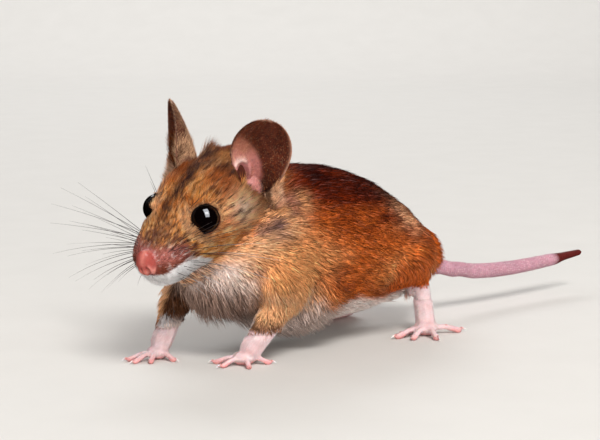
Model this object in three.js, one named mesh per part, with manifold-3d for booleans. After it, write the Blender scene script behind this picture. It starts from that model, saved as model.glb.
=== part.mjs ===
// A young wood mouse at life size, as one still figure caught in mid-step.
//
// Millimetres, +Z up. The body lies along X with its head towards -X, so the mouse's own left
// is towards -Y. The solids reach out to the tips of the coat. The right forefoot and the right
// hind foot are forward, the left hind foot pushes off on its toes, the head is turned a little
// to its left, and the short tail is held clear of the floor. The longest whiskers are rods.
//
// The body is modelled whole and then parted with thin cuts, so neighbours meet across a gap.
// Afterwards the figure is moved so that the origin is the middle of its footprint.

import * as THREE from "three";
import { mergeVertices } from "three/addons/utils/BufferGeometryUtils.js";
import Module from "manifold-3d";

const wasm = await Module();
wasm.setup();

// ---- Driving dimensions ----------------------------------------------------------------------

const GAP = 0.3; // between pieces that touch
const HEAD_TURN = 15; // degrees to the mouse's left
const HEAD_DROOP = 25; // degrees that the nose points below the level
const HEAD_TILT = 6; // degrees that the left ear hangs lower
const EYE_RADIUS = 2.4;
const EAR_LENGTHS = { left: 11.8, right: 12.3 };
const EAR_WIDTH = 10.2;
const EAR_THICKNESS = 0.8;
const EAR_SPLAY = 13.5; // degrees that an ear stands out sideways
const EAR_LEAN = 20; // degrees that it leans back
const EAR_HEADING = 42; // degrees from the nose's direction to where it opens
const TAIL_RADIUS = 1.5; // at the root
const WHISKER_RADII = [0.34, 0.3]; // at the root and the tip, as thin as a sturdy rod can be
const FLOOR_BITE = 0.2; // how far pads reach under the floor before their flats are cut
const WHOLE_MOUSE = 200; // wider than the figure, for the blocks that cut it
const SLEEVE = 0.5; // how loosely a leg's zone is cut round it

const SKIN = { color: 0xe3a9a4, roughness: 0.55, metalness: 0 };
const COAT = { color: 0xa5642f, roughness: 0.85, metalness: 0 };
const EAR_SKIN = { color: 0x6b3a2a, roughness: 0.6, metalness: 0 };
const EYE = { color: 0x050506, roughness: 0.05, metalness: 0 };
const RAW_TIP = { color: 0x5e1712, roughness: 0.5, metalness: 0 };
const WHISKER = { color: 0x2a1c16, roughness: 0.5, metalness: 0 };

// ---- Solids and geometry ---------------------------------------------------------------------

function toSolid(geometry) {
  const bare = geometry.clone();
  bare.deleteAttribute("normal");
  bare.deleteAttribute("uv");
  const merged = mergeVertices(bare, 1e-4);
  const made = new wasm.Mesh({
    numProp: 3,
    vertProperties: new Float32Array(merged.attributes.position.array),
    triVerts: new Uint32Array(merged.index.array),
  });
  return new wasm.Manifold(made);
}

function toGeometry(solid) {
  const { numProp, vertProperties, triVerts } = solid.getMesh();
  const position = new Float32Array((vertProperties.length / numProp) * 3);
  for (let i = 0; i < position.length / 3; i++) {
    position.set(vertProperties.subarray(i * numProp, i * numProp + 3), i * 3);
  }
  const geometry = new THREE.BufferGeometry();
  geometry.setAttribute("position", new THREE.BufferAttribute(position, 3));
  geometry.setIndex(new THREE.BufferAttribute(new Uint32Array(triVerts), 1));
  geometry.computeVertexNormals();
  return geometry;
}

const joined = (solids) => solids.reduce((all, next) => all.add(next));

function largest(solid) {
  return solid.decompose().sort((a, b) => b.volume() - a.volume())[0];
}

const vector = (p) => new THREE.Vector3(...p);
const UP = vector([0, 0, 1]);
const radians = THREE.MathUtils.degToRad;

// Covers a row of rings, each with the same number of points, and closes both ends to a point.
function coverRings(rings, first, last) {
  const sides = rings[0].length;
  const points = [...rings.flat(), first, last];
  const index = [];
  const at = (ring, side) => ring * sides + (side % sides);
  for (let side = 0; side < sides; side++) {
    for (let ring = 0; ring < rings.length - 1; ring++) {
      index.push(at(ring, side), at(ring, side + 1), at(ring + 1, side));
      index.push(at(ring, side + 1), at(ring + 1, side + 1), at(ring + 1, side));
    }
    index.push(points.length - 2, at(0, side + 1), at(0, side));
    index.push(points.length - 1, at(rings.length - 1, side), at(rings.length - 1, side + 1));
  }
  const position = new Float32Array(points.flatMap((p) => [p.x, p.y, p.z]));
  const geometry = new THREE.BufferGeometry();
  geometry.setAttribute("position", new THREE.BufferAttribute(position, 3));
  geometry.setIndex(index);
  return geometry;
}

// A rounded body through sections [x, y, z, half width, height above, depth below]. Its ends are
// domes of the given lengths, grow makes it larger all round, and a fullness under 1 squares it.
function rounded(sections, options) {
  const { sides = 16, steps = 2, domes = [2, 2], domeSteps = 3, grow = 0 } = options;
  const { fullness = 1 } = options;
  const swell = (x) => Math.sign(x) * Math.abs(x) ** fullness;
  const line = new THREE.CatmullRomCurve3(sections.map((s) => vector(s.slice(0, 3))));
  const sizes = new THREE.CatmullRomCurve3(sections.map((s) => vector(s.slice(3, 6))));
  const stops = [];
  for (let i = domeSteps - 1; i > 0; i--) stops.push({ t: 0, dome: -i / domeSteps });
  const count = (sections.length - 1) * steps;
  for (let i = 0; i <= count; i++) stops.push({ t: i / count, dome: 0 });
  for (let i = 1; i < domeSteps; i++) stops.push({ t: 1, dome: i / domeSteps });

  const place = ({ t, dome }) => {
    const along = line.getTangent(t);
    const reach = (dome < 0 ? domes[0] : domes[1]) + grow;
    const angle = (dome * Math.PI) / 2;
    return line.getPoint(t).addScaledVector(along, reach * Math.sin(angle));
  };
  const rings = stops.map((stop) => {
    const along = line.getTangent(stop.t);
    const side = UP.clone().cross(along).normalize();
    const top = along.clone().cross(side);
    const size = sizes.getPoint(stop.t);
    const share = Math.cos((stop.dome * Math.PI) / 2);
    const centre = place(stop);
    return Array.from({ length: sides }, (_, i) => {
      const angle = (i / sides) * 2 * Math.PI;
      const height = Math.sin(angle) > 0 ? size.y : size.z;
      return centre
        .clone()
        .addScaledVector(side, (size.x + grow) * share * swell(Math.cos(angle)))
        .addScaledVector(top, (height + grow) * share * swell(Math.sin(angle)));
    });
  });
  return coverRings(rings, place({ t: 0, dome: -1 }), place({ t: 1, dome: 1 }));
}

// The same for a round limb through sections [x, y, z, radius].
function limb(sections, options) {
  return rounded(
    sections.map(([x, y, z, r]) => [x, y, z, r, r, r]),
    options,
  );
}

function ellipsoid(centre, radii, grow = 0, detail = 20) {
  const ball = new THREE.SphereGeometry(1, detail, detail / 2);
  ball.scale(...radii.map((r) => r + grow));
  return ball.translate(...centre);
}

// ---- Head ------------------------------------------------------------------------------------
// The head has a frame of its own: its origin is midway between the ear canals, +X runs to the
// nose, +Y to the mouse's left ear and +Z to the crown.

const MUZZLE_REACH = 22.4;
const NOSE_AT = [22.8, 0, 1.05];
const NOSE_RADII = [1.5, 1.65, 2.3];
const EYE_AT = [12.1, 4.75, 3.7];
const EAR_AT = [1.6, 7.2, 3.8];

const headFrame = new THREE.Group();
headFrame.position.set(-10.7, 1.6, 27.1);
headFrame.rotation.order = "ZYX";
headFrame.rotation.set(radians(-HEAD_TILT), radians(HEAD_DROOP), radians(180 + HEAD_TURN));
headFrame.updateMatrixWorld(true);
const fromHead = (solid) => solid.transform(headFrame.matrixWorld.elements);

const skullSections = [
  [-5, 0, 0, 8.0, 5.8, 9.2],
  [0, 0, 0, 9.3, 7.2, 9.8],
  [5, 0, 0, 9.2, 8.0, 9.2],
  [10, 0, 0.2, 8.3, 7.6, 8.0],
  [14, 0, 0.2, 6.9, 6.0, 6.6],
  [18, 0, 0.1, 5.4, 3.9, 5.5],
  [20.8, 0, 0, 4.1, 2.8, 4.3],
];
const skull = (grow) =>
  toSolid(rounded(skullSections, { sides: 18, domes: [5, MUZZLE_REACH - 20.8], fullness: 0.88, grow }));

const nosePad = (grow) => toSolid(ellipsoid(NOSE_AT, NOSE_RADII, grow, 12));
const eyeBall = (side, grow) => {
  const radii = Array(3).fill(EYE_RADIUS);
  return toSolid(ellipsoid([EYE_AT[0], side * EYE_AT[1], EYE_AT[2]], radii, grow, 12));
};

// An ear is a round spoon. Its sections are crescents, deep at the foot and shallow at the tip.
function ear(side, length) {
  const across = 9;
  const rows = 8;
  const section = (v) => {
    const closing = Math.sqrt(1 - Math.max(0, (v - 0.52) / 0.48) ** 2);
    const half = (EAR_WIDTH / 2) * closing * (0.6 + 0.4 * THREE.MathUtils.smoothstep(v, 0, 0.52));
    const cup = closing * (1.1 + 5 * (1 - v) ** 1.3);
    const forward = 2.2 * (1 - v) ** 1.5;
    const row = (offset) =>
      Array.from({ length: across }, (_, i) => {
        const u = (i / (across - 1)) * 2 - 1;
        const slope = (2 * cup * u) / half;
        const away = offset / Math.hypot(1, slope);
        const x = forward + cup * (u * u - 1) + away;
        return new THREE.Vector3(x, u * half - slope * away, v * length);
      });
    return [...row(EAR_THICKNESS / 2), ...row(-EAR_THICKNESS / 2).reverse()];
  };
  const rings = Array.from({ length: rows }, (_, i) => section((i / rows) ** 0.8 * 0.99));
  const tip = new THREE.Vector3(0, 0, length);
  const foot = new THREE.Vector3(-1.2, 0, -0.4);
  const stand = vector([-Math.tan(radians(EAR_LEAN)), side * Math.tan(radians(EAR_SPLAY)), 1]);
  stand.normalize();
  const open = vector([Math.cos(radians(EAR_HEADING)), side * Math.sin(radians(EAR_HEADING)), 0]);
  open.addScaledVector(stand, -open.dot(stand)).normalize();
  const placed = new THREE.Matrix4().makeBasis(open, stand.clone().cross(open), stand);
  placed.setPosition(EAR_AT[0], side * EAR_AT[1], EAR_AT[2]);
  return toSolid(coverRings(rings, foot, tip).applyMatrix4(placed));
}

// The whiskers leave the cheek at [x, z] of the head's frame. For each unit sideways they head
// forward and up by the next two numbers, and the last two are reach and droop at the tip. The
// right ones spread forwards, and the left ones are swept back along the cheek.
const WHISKER_ROOT_Y = 3;
const whiskers = {
  left: [
    [18.2, 2.4, -0.45, 0.75, 10, 0.6],
    [17.2, 1.8, -0.8, 0.42, 15.5, 1.4],
    [17, 0.9, -0.9, 0.2, 18.5, 2],
    [17.2, 0, -0.8, 0.04, 18, 2.6],
    [18, -0.9, -0.6, -0.2, 14, 2.8],
  ],
  right: [
    [17.6, 2.4, 0.05, 0.78, 16, 0.8],
    [17.2, 1.7, 0.12, 0.44, 19, 1.4],
    [17, 0.8, 0.14, 0.14, 20.5, 1.8],
    [17.4, 0, 0.22, -0.12, 20, 4],
    [18.4, -0.9, 0.32, -0.4, 13.5, 3.4],
  ],
};

function whisker(side, [x, z, forward, up, reach, droop]) {
  const heading = vector([forward, side, up]).normalize();
  const sections = [0, 0.55, 1].map((share) => {
    const p = vector([x, side * WHISKER_ROOT_Y, z]).addScaledVector(heading, reach * share);
    const radius = THREE.MathUtils.lerp(...WHISKER_RADII, share);
    return [p.x, p.y, p.z - droop * share ** 2, radius];
  });
  return toSolid(limb(sections, { sides: 4, steps: 1, domes: [0.1, 0.2], domeSteps: 1 }));
}

// ---- Trunk, neck and tail --------------------------------------------------------------------

const trunkSections = [
  [-14, 0.5, 17.6, 8.6, 8.6, 8.8],
  [-8, 0.3, 18.6, 11.4, 11.8, 12],
  [0, 0, 18.2, 12.6, 13.3, 14],
  [7, 0, 17.4, 13.1, 13.4, 14.2],
  [14, 0, 16.3, 12.9, 12.2, 13.1],
  [21, 0, 14.6, 11.6, 9.9, 11.2],
  [27, 0, 12.8, 9.0, 7.2, 7.9],
];
const neckSections = [
  [-13, 1.8, 23.2, 8.3, 8.6, 8.4],
  [-8, 1, 20.8, 10.5, 10.8, 10.4],
  [-2, 0.3, 18.8, 12.1, 12.6, 12.2],
];
const tailSections = [
  [29, 0, 11.2, TAIL_RADIUS * 1.3],
  [37, 0, 9.1, TAIL_RADIUS],
  [47, 0, 7.1, TAIL_RADIUS * 0.94],
  [58, 0, 6.5, TAIL_RADIUS * 0.88],
  [69, 0, 6.8, TAIL_RADIUS * 0.78],
];
const tailTipSections = [
  [67, 0, 6.8, TAIL_RADIUS * 0.6],
  [72, 0, 7.0, TAIL_RADIUS * 0.56],
  [77, 0, 7.3, TAIL_RADIUS * 0.4],
];

const TRUNK_SHAPE = { sides: 20, domes: [5, 7] };
const trunk = toSolid(rounded(trunkSections, TRUNK_SHAPE));
const neck = toSolid(rounded(neckSections, { sides: 17 }));

// ---- Legs and feet ---------------------------------------------------------------------------

// A toe leaves the pad, rises over its knuckle and comes down on its tip, with a small claw.
function toe(root, heading, reach, radius) {
  const away = new THREE.Vector3(Math.cos(radians(heading)), Math.sin(radians(heading)), 0);
  const point = (share, z, r) => {
    const p = vector(root).addScaledVector(away, reach * share);
    return [p.x, p.y, z, r];
  };
  const tipHeight = radius - FLOOR_BITE;
  const finger = limb(
    [
      point(0, root[2], radius * 1.15),
      point(0.6, radius * 2, radius * 0.85),
      point(1, tipHeight, radius),
    ],
    { sides: 5, steps: 1, domes: [radius, radius * 0.9], domeSteps: 2 },
  );
  const claw = limb(
    [
      point(1, tipHeight + radius * 0.35, radius * 0.42),
      point(1 + (radius * 1.6) / reach, tipHeight + radius * 0.2, radius * 0.28),
    ],
    { sides: 3, steps: 1, domes: [0.2, radius * 0.6], domeSteps: 1 },
  );
  return [toSolid(finger), toSolid(claw)];
}

const underground = new THREE.BoxGeometry(WHOLE_MOUSE, WHOLE_MOUSE, WHOLE_MOUSE);
const belowFloor = toSolid(underground.translate(0, 0, -WHOLE_MOUSE / 2));
const onFloor = (solid) => solid.subtract(belowFloor);

// Each leg is a haunch or shoulder of muscle, an upper length down to the elbow or heel, and a
// lower one to the pad. The toes are [heading, reach], with headings in degrees from +X.
const legs = {
  foreleg_left: {
    muscle: { at: [-6.6, -8.6, 13.4], radii: [5.4, 4, 6.6] },
    upper: [
      [-7, -8.6, 10.8, 3.6],
      [-9.8, -8.8, 7.2, 2.7],
    ],
    lower: [
      [-9.8, -8.8, 7.2, 2.7],
      [-11.6, -8.3, 4.6, 2.15],
      [-13.1, -7.8, 2.3, 1.95],
    ],
    pad: [-14.1, -7.4],
    padRadii: [2.1, 1.9, 1.3],
    toeRadius: 0.52,
    toes: [
      [138, 4.6],
      [178, 4.2],
      [245, 3.5],
      [318, 4.0],
    ],
  },
  foreleg_right: {
    muscle: { at: [-12.5, 7.2, 14.6], radii: [5.6, 4, 6.4] },
    upper: [
      [-14, 7, 12.4, 3.8],
      [-18.2, 6.6, 8, 2.5],
    ],
    lower: [
      [-18.2, 6.6, 8, 2.5],
      [-20, 6, 5, 2],
      [-21.7, 5.4, 2.3, 1.8],
    ],
    pad: [-22.6, 5.1],
    padRadii: [2.1, 1.8, 1.3],
    toeRadius: 0.52,
    toes: [
      [165, 5.0],
      [188, 5.0],
      [218, 3.9],
      [279, 3.7],
    ],
  },
  hindleg_left: {
    muscle: { at: [19.5, -7.4, 14.2], radii: [8, 5.4, 6.6] },
    upper: [
      [22.4, -7.6, 12.2, 4],
      [27, -6.2, 8.6, 2.3],
    ],
    lower: [
      [27.2, -6.2, 8, 2.1],
      [26, -8.2, 4.4, 1.7],
      [24.6, -10.2, 2, 1.8],
    ],
    pad: [24, -10.9],
    padRadii: [2.1, 2.1, 1.45],
    toeRadius: 0.62,
    toes: [
      [138, 3.4],
      [173, 6.0],
      [201, 5.0],
      [250, 4.6],
      [338, 6.2],
    ],
  },
  hindleg_right: {
    muscle: { at: [14, 8, 12.6], radii: [8.2, 5.4, 7] },
    upper: [
      [17.6, 9, 8.6, 3.8],
      [23, 9.4, 3, 2.1],
    ],
    lower: [
      [23.2, 9.4, 2.2, 2.2],
      [17, 9.4, 1.9, 1.9],
      [11, 9.5, 1.6, 2],
    ],
    pad: [9.8, 9.6],
    padRadii: [2.4, 2.1, 1.45],
    toeRadius: 0.62,
    toes: [
      [118, 3.6],
      [158, 5.2],
      [180, 5.6],
      [202, 5.2],
      [244, 3.8],
    ],
  },
};

function legSolid({ muscle, upper, lower, pad, padRadii, toeRadius, toes }) {
  const lengths = [upper, lower].map((bones) => {
    const ends = [bones[0][3], bones.at(-1)[3]];
    return toSolid(limb(bones, { sides: 8, steps: 1, domes: ends, domeSteps: 2 }));
  });
  const haunch = toSolid(ellipsoid(muscle.at, muscle.radii, 0, 12));
  const palm = [...pad, padRadii[2] - FLOOR_BITE];
  const sole = toSolid(ellipsoid(palm, padRadii, 0, 8));
  const fingers = toes.flatMap(([heading, reach]) => toe(palm, heading, reach, toeRadius));
  return joined([haunch, ...lengths, sole, ...fingers]);
}

// ---- Joining and parting ---------------------------------------------------------------------

const sockets = [eyeBall(1, GAP), eyeBall(-1, GAP), nosePad(GAP)].map(fromHead);
const body = joined([trunk, neck, fromHead(skull(0)), ...Object.values(legs).map(legSolid)]);
let rest = onFloor(sockets.reduce((whole, socket) => whole.subtract(socket), body));

const mouse = new THREE.Group();

function addMesh(name, solid, look, parent = mouse) {
  const mesh = new THREE.Mesh(toGeometry(largest(solid)), new THREE.MeshStandardMaterial(look));
  mesh.name = name;
  parent.add(mesh);
}

// Takes what lies inside a zone off the rest of the body as a piece of its own.
function part(name, zone, look) {
  addMesh(name, rest.intersect(zone(0)), look);
  rest = rest.subtract(zone(GAP));
}

// A zone round one foot, from under the floor up to a level plane.
const footZone = ([x, y, z], reach) => (grow) => {
  const width = 2 * (reach + grow);
  const height = z + FLOOR_BITE + grow;
  const box = new THREE.BoxGeometry(width, width, height);
  return toSolid(box.translate(x, y, height / 2 - FLOOR_BITE));
};

part("forefoot_left", footZone([-14.2, -7.4, 4.4], 6.6), SKIN);
part("forefoot_right", footZone([-22.8, 5.4, 4.4], 6.6), SKIN);
part("hindfoot_left", footZone([24.5, -10.6, 5.2], 8.6), SKIN);
part("hindfoot_right", footZone([14.4, 9.4, 3.6], 11.4), SKIN);

// A leg's zone is a loose sleeve round it.
const legZone = ({ muscle, upper, lower }) => (grow) => {
  const sleeves = [upper, lower].map((bones) => {
    const loose = bones.map(([x, y, z, r]) => [x, y, z, r + SLEEVE + grow]);
    return toSolid(limb(loose, { sides: 6, steps: 1, domeSteps: 2 }));
  });
  return joined([toSolid(ellipsoid(muscle.at, muscle.radii, SLEEVE + grow, 10)), ...sleeves]);
};
for (const [name, leg] of Object.entries(legs)) part(name, legZone(leg), COAT);

// A zone on the head's side of a plane, given by a point on it and the turn about Z and Y.
const frontOf = (at, turn, pitch) => (grow) => {
  const block = new THREE.BoxGeometry(WHOLE_MOUSE, WHOLE_MOUSE, WHOLE_MOUSE);
  block.translate(-WHOLE_MOUSE / 2 + grow, 0, 0);
  block.rotateY(radians(pitch)).rotateZ(radians(turn));
  return toSolid(block.translate(...at));
};
part("head", frontOf([-10.2, 2, 27], HEAD_TURN, 52), COAT);
part("neck", frontOf([-5.4, 0.6, 24], HEAD_TURN / 3, 34), COAT);
addMesh("trunk", rest, COAT);

// The tail is a bare tube in lengths, and the last of them is a thin raw tip.
const trunkGap = toSolid(rounded(trunkSections, { ...TRUNK_SHAPE, grow: GAP }));
const tube = toSolid(limb(tailSections, { sides: 8, domes: [1, 0.8], domeSteps: 2 }));
const thinTip = toSolid(limb(tailTipSections, { sides: 7, domes: [0.5, 0.7], domeSteps: 2 }));
const tail = tube.subtract(trunkGap).add(thinTip);
for (const [name, from, to, look] of [
  ["tail_base", 20, 52, SKIN],
  ["tail_end", 52, 69.6, SKIN],
  ["tail_tip", 69.6, 90, RAW_TIP],
]) {
  const slab = new THREE.BoxGeometry(to - from - GAP, WHOLE_MOUSE, WHOLE_MOUSE);
  addMesh(name, tail.intersect(toSolid(slab.translate((from + to - GAP) / 2, 0, 0))), look);
}

// Ears, eyes, whiskers and the nose pad sit in the head's own frame.
mouse.add(headFrame);
const skullGap = skull(GAP);
for (const [side, word] of [
  [1, "left"],
  [-1, "right"],
]) {
  addMesh("ear_" + word, ear(side, EAR_LENGTHS[word]).subtract(skullGap), EAR_SKIN, headFrame);
  addMesh("eye_" + word, eyeBall(side, 0), EYE, headFrame);
  whiskers[word].forEach((layout, row) => {
    const rod = whisker(side, layout).subtract(skullGap);
    addMesh(`whisker_${word}_${row + 1}`, rod, WHISKER, headFrame);
  });
}
addMesh("nose", nosePad(0), SKIN, headFrame);

// ---- Origin ----------------------------------------------------------------------------------

mouse.updateMatrixWorld(true);
const bounds = new THREE.Box3().setFromObject(mouse, true);
const middle = bounds.getCenter(new THREE.Vector3());
mouse.position.set(-middle.x, -middle.y, -bounds.min.z);

export default mouse;
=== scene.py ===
# %% [markdown]
# # A wood mouse in mid-step
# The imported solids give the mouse's build, out to the tips of its coat. This lesson dresses them as
# a life-size museum model: one skin with ears, feet and tail, two wet black eyes, claws, whiskers,
# and a coat of short hairs in joined meshes. Shapes are worked out in millimetres, because a mouse
# is small, and each finished piece is scaled to metres.

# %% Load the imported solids
import itertools
import math
from math import radians

import bmesh
import bpy
import numpy as np
from mathutils import Euler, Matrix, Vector
from mathutils.bvhtree import BVHTree


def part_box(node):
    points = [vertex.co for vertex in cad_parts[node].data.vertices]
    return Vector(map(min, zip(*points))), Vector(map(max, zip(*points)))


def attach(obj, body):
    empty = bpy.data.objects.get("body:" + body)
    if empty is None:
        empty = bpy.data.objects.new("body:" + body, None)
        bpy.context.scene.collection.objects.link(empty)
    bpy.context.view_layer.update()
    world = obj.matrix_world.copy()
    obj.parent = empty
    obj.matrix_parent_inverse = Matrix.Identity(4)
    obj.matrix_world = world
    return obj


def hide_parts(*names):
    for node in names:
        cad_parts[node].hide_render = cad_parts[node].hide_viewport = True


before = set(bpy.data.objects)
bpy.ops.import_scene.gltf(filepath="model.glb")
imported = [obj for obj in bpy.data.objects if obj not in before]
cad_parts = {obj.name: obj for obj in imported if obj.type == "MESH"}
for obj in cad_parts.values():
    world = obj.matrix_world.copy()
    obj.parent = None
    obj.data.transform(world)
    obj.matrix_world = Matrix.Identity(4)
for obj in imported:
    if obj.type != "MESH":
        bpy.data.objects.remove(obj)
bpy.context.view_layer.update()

MM = 0.001
scene = bpy.context.scene


def middle_of(node):
    low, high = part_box(node)
    return np.array((low + high) / 2) / MM


TRUNK_X, TRUNK_Y, _ = middle_of("trunk")

# %% [markdown]
# ## Camera
# The camera comes first, so that every later choice can be judged from where it stands. It looks at
# the neck from the mouse's left front, from a little above the animal's own height. A long lens
# from close by keeps a small animal's proportions true.

# %% Camera
VIEW_TARGET = (TRUNK_X - 5.4, TRUNK_Y, 21.25)
VIEW_AZIMUTH, VIEW_ELEVATION = -40, 9
VIEW_DISTANCE = 300
VIEW_LENS = 104.4


def way_out(azimuth, elevation):
    """The direction away from the mouse at angles in degrees, where 0 and 0 is level, out to its left."""
    turn, lift = radians(azimuth), radians(elevation)
    return Vector((math.sin(turn) * math.cos(lift), -math.cos(turn) * math.cos(lift), math.sin(lift)))


def object_of(name, data):
    made = bpy.data.objects.new(name, data)
    scene.collection.objects.link(made)
    return made


def facing_back(name, data, place, away):
    """A camera or lamp at a place, which looks back against the direction away."""
    placed = object_of(name, data)
    placed.location = place
    placed.rotation_euler = (-away).to_track_quat("-Z", "Y").to_euler()
    return placed


towards_camera = way_out(VIEW_AZIMUTH, VIEW_ELEVATION)
view_place = (Vector(VIEW_TARGET) + towards_camera * VIEW_DISTANCE) * MM
camera = facing_back("camera", bpy.data.cameras.new("camera"), view_place, towards_camera)
camera.data.lens = VIEW_LENS
camera.data.clip_start = 0.01
camera.data.clip_end = 10
scene.camera = camera
print("camera at", [round(c / MM) for c in camera.location])

# %% [markdown]
# ## The head's own frame
# Eyes, ears, markings and whiskers are easiest to place in a frame that turns with the head: X to
# the nose, Y to the mouse's left, Z to the crown. It is turned by the solids' own three angles, and
# placed by the middles of the two eyes.

# %% The head's frame
HEAD_TURN = radians(15)  # to the mouse's left
HEAD_DROOP = radians(25)  # of the nose, below the level
HEAD_TILT = radians(6)  # of the left ear, downwards
EYE_AT = np.array([12.1, 4.75, 3.7])
EYE_RADIUS = 2.35
NOSE_AT = np.array([22.8, 0, 1.05])
NOSE_RADII = np.array([1.5, 1.65, 2.3])
SIDES = {"left": 1, "right": -1}

HEAD_AXES = np.array(Euler((-HEAD_TILT, HEAD_DROOP, math.pi + HEAD_TURN)).to_matrix()).T
eye_centres = {word: middle_of("eye_" + word) for word in SIDES}
between_eyes = (eye_centres["left"] + eye_centres["right"]) / 2
HEAD_ORIGIN = between_eyes - (EYE_AT * [1, 0, 1]) @ HEAD_AXES


def from_head(places):
    return np.asarray(places) @ HEAD_AXES + HEAD_ORIGIN


def to_head(places):
    return (np.asarray(places) - HEAD_ORIGIN) @ HEAD_AXES.T


print("head origin", HEAD_ORIGIN.round(1), "nose direction", HEAD_AXES[0].round(2))

# %% [markdown]
# ## Small helpers
# The skin and the coat are worked out with arrays, because they hold tens of thousands of points. A
# few plain functions are enough: a soft step, a random mottling that is the same in each run,
# averaging over a mesh's edges, and a way to turn arrays into a mesh.


# %% Helpers for arrays
def soft_step(low, high, value):
    share = np.clip((np.asarray(value, float) - low) / (high - low), 0, 1)
    return share * share * (3 - 2 * share)


def mix(a, b, share):
    """Runs from a to b as share goes from 0 to 1. For rows of three, there is a share to each row."""
    share = np.asarray(share)
    if share.ndim and (3,) in (np.shape(a)[-1:], np.shape(b)[-1:]):
        share = share[:, None]
    return a * (1 - share) + b * share


def unit(vectors):
    return vectors / np.maximum(np.linalg.norm(vectors, axis=-1, keepdims=True), 1e-9)


def blot(value, middle, reach):
    """1 at the middle, fading to both sides of it."""
    return np.exp(-(((value - middle) / reach) ** 2))


def layered(tone, *layers):
    """Lays colours over a tone one by one, each with its share from 0 to 1."""
    for over, share in layers:
        tone = mix(tone, over, share)
    return tone


def across(vectors, normals):
    """The part of each vector that lies in the surface."""
    return unit(vectors - (vectors * normals).sum(1)[:, None] * normals)


def mottling(points, size, seed=0):
    """Smooth random values from -1 to 1, whose patches are about the given size in mm."""
    places = points / size
    cells = np.floor(places).astype(np.int64)
    share = places - cells
    share = share * share * (3 - 2 * share)
    total = np.zeros(len(points))
    for corner in itertools.product((0, 1), repeat=3):
        mixed = (cells + corner) @ np.array([73856093, 19349663, 83492791]) + seed * 7919
        mixed = ((mixed ^ (mixed >> 13)) * 1274126177) & 0xFFFFFFFF
        value = ((mixed ^ (mixed >> 16)) & 0xFFFF) / 32767.5 - 1
        total += value * np.prod(np.where(corner, share, 1 - share), axis=1)
    return total


def smear(values, edges, rounds):
    """Averages values of a mesh's points over its edges."""
    values = np.asarray(values, float)
    flat = values.reshape(len(values), -1)
    count = np.bincount(edges.ravel(), minlength=len(flat))[:, None]
    for _ in range(rounds):
        total = np.stack(
            [
                np.bincount(edges[:, 0], column[edges[:, 1]], len(flat))
                + np.bincount(edges[:, 1], column[edges[:, 0]], len(flat))
                for column in flat.T
            ],
            axis=1,
        )
        flat = 0.5 * flat + 0.5 * total / np.maximum(count, 1)
    return flat.reshape(values.shape)


SWELL_BACK = 1.04


def relaxed(points, edges, rounds, freedom=1.0):
    """Smooths a surface and gives back the bulk that smoothing takes away."""
    for _ in range(rounds):
        points = points + (smear(points, edges, 1) - points) * freedom
        points = points - (smear(points, edges, 1) - points) * SWELL_BACK * freedom
    return points


# %% Helpers for meshes
def read_all(items, name, width=1, kind=np.float32):
    """One value, or a row of them, from each of a mesh's points, edges, faces or corners."""
    values = np.empty(len(items) * width, kind)
    items.foreach_get(name, values)
    return values.reshape(-1, width) if width > 1 else values


def points_of(mesh):
    return read_all(mesh.vertices, "co", 3).astype(float)


def even_normals(mesh, edges, rounds):
    """The normals of a mesh's points, averaged over its edges."""
    return unit(smear(read_all(mesh.vertices, "normal", 3).astype(float), edges, rounds))


def edges_of(mesh):
    return read_all(mesh.edges, "vertices", 2, np.int32)


def triangles_of(mesh):
    mesh.calc_loop_triangles()
    return read_all(mesh.loop_triangles, "vertices", 3, np.int32)


def move_points(mesh, points):
    mesh.vertices.foreach_set("co", points.astype(np.float32).ravel())
    mesh.update()


def shade_smooth(mesh):
    mesh.polygons.foreach_set("use_smooth", np.ones(len(mesh.polygons), bool))


def paint(mesh, tones):
    """Keeps a colour for each point, which the materials read."""
    held = mesh.color_attributes.new(name="marking", type="FLOAT_COLOR", domain="POINT")
    full = np.concatenate([tones, np.ones((len(tones), 1))], 1)
    held.data.foreach_set("color", full.astype(np.float32).ravel())


def lay_map(mesh, spots):
    """Keeps a place on the map OFBake for each corner of a mesh's faces."""
    bake = mesh.uv_layers.new(name="OFBake")
    bake.data.foreach_set("uv", spots.astype(np.float32).ravel())


def filled(name, net):
    """A mesh from a net, which is freed."""
    mesh = bpy.data.meshes.new(name)
    net.to_mesh(mesh)
    net.free()
    return mesh


def mesh_of(name, points, faces):
    """A mesh from points and from arrays of faces, where each array has faces of one size."""
    mesh = bpy.data.meshes.new(name)
    mesh.vertices.add(len(points))
    mesh.vertices.foreach_set("co", points.astype(np.float32).ravel())
    sizes = np.concatenate([np.full(len(f), f.shape[1]) for f in faces])
    corners = np.concatenate([f.ravel() for f in faces])
    mesh.loops.add(len(corners))
    mesh.loops.foreach_set("vertex_index", corners.astype(np.int32))
    mesh.polygons.add(len(sizes))
    starts = np.concatenate([[0], np.cumsum(sizes)[:-1]])
    mesh.polygons.foreach_set("loop_start", starts.astype(np.int32))
    mesh.update(calc_edges=True)
    shade_smooth(mesh)
    return mesh


def plain(piece):
    """Applies a piece's modifiers, so that what they made is its own mesh."""
    graph = bpy.context.evaluated_depsgraph_get()
    graph.update()
    mesh = bpy.data.meshes.new_from_object(piece.evaluated_get(graph))
    piece.modifiers.clear()
    piece.data = mesh
    return piece


def with_modifier(piece, kind, **settings):
    modifier = piece.modifiers.new(kind.lower(), kind)
    for name, value in settings.items():
        setattr(modifier, name, value)
    return plain(piece)


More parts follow.
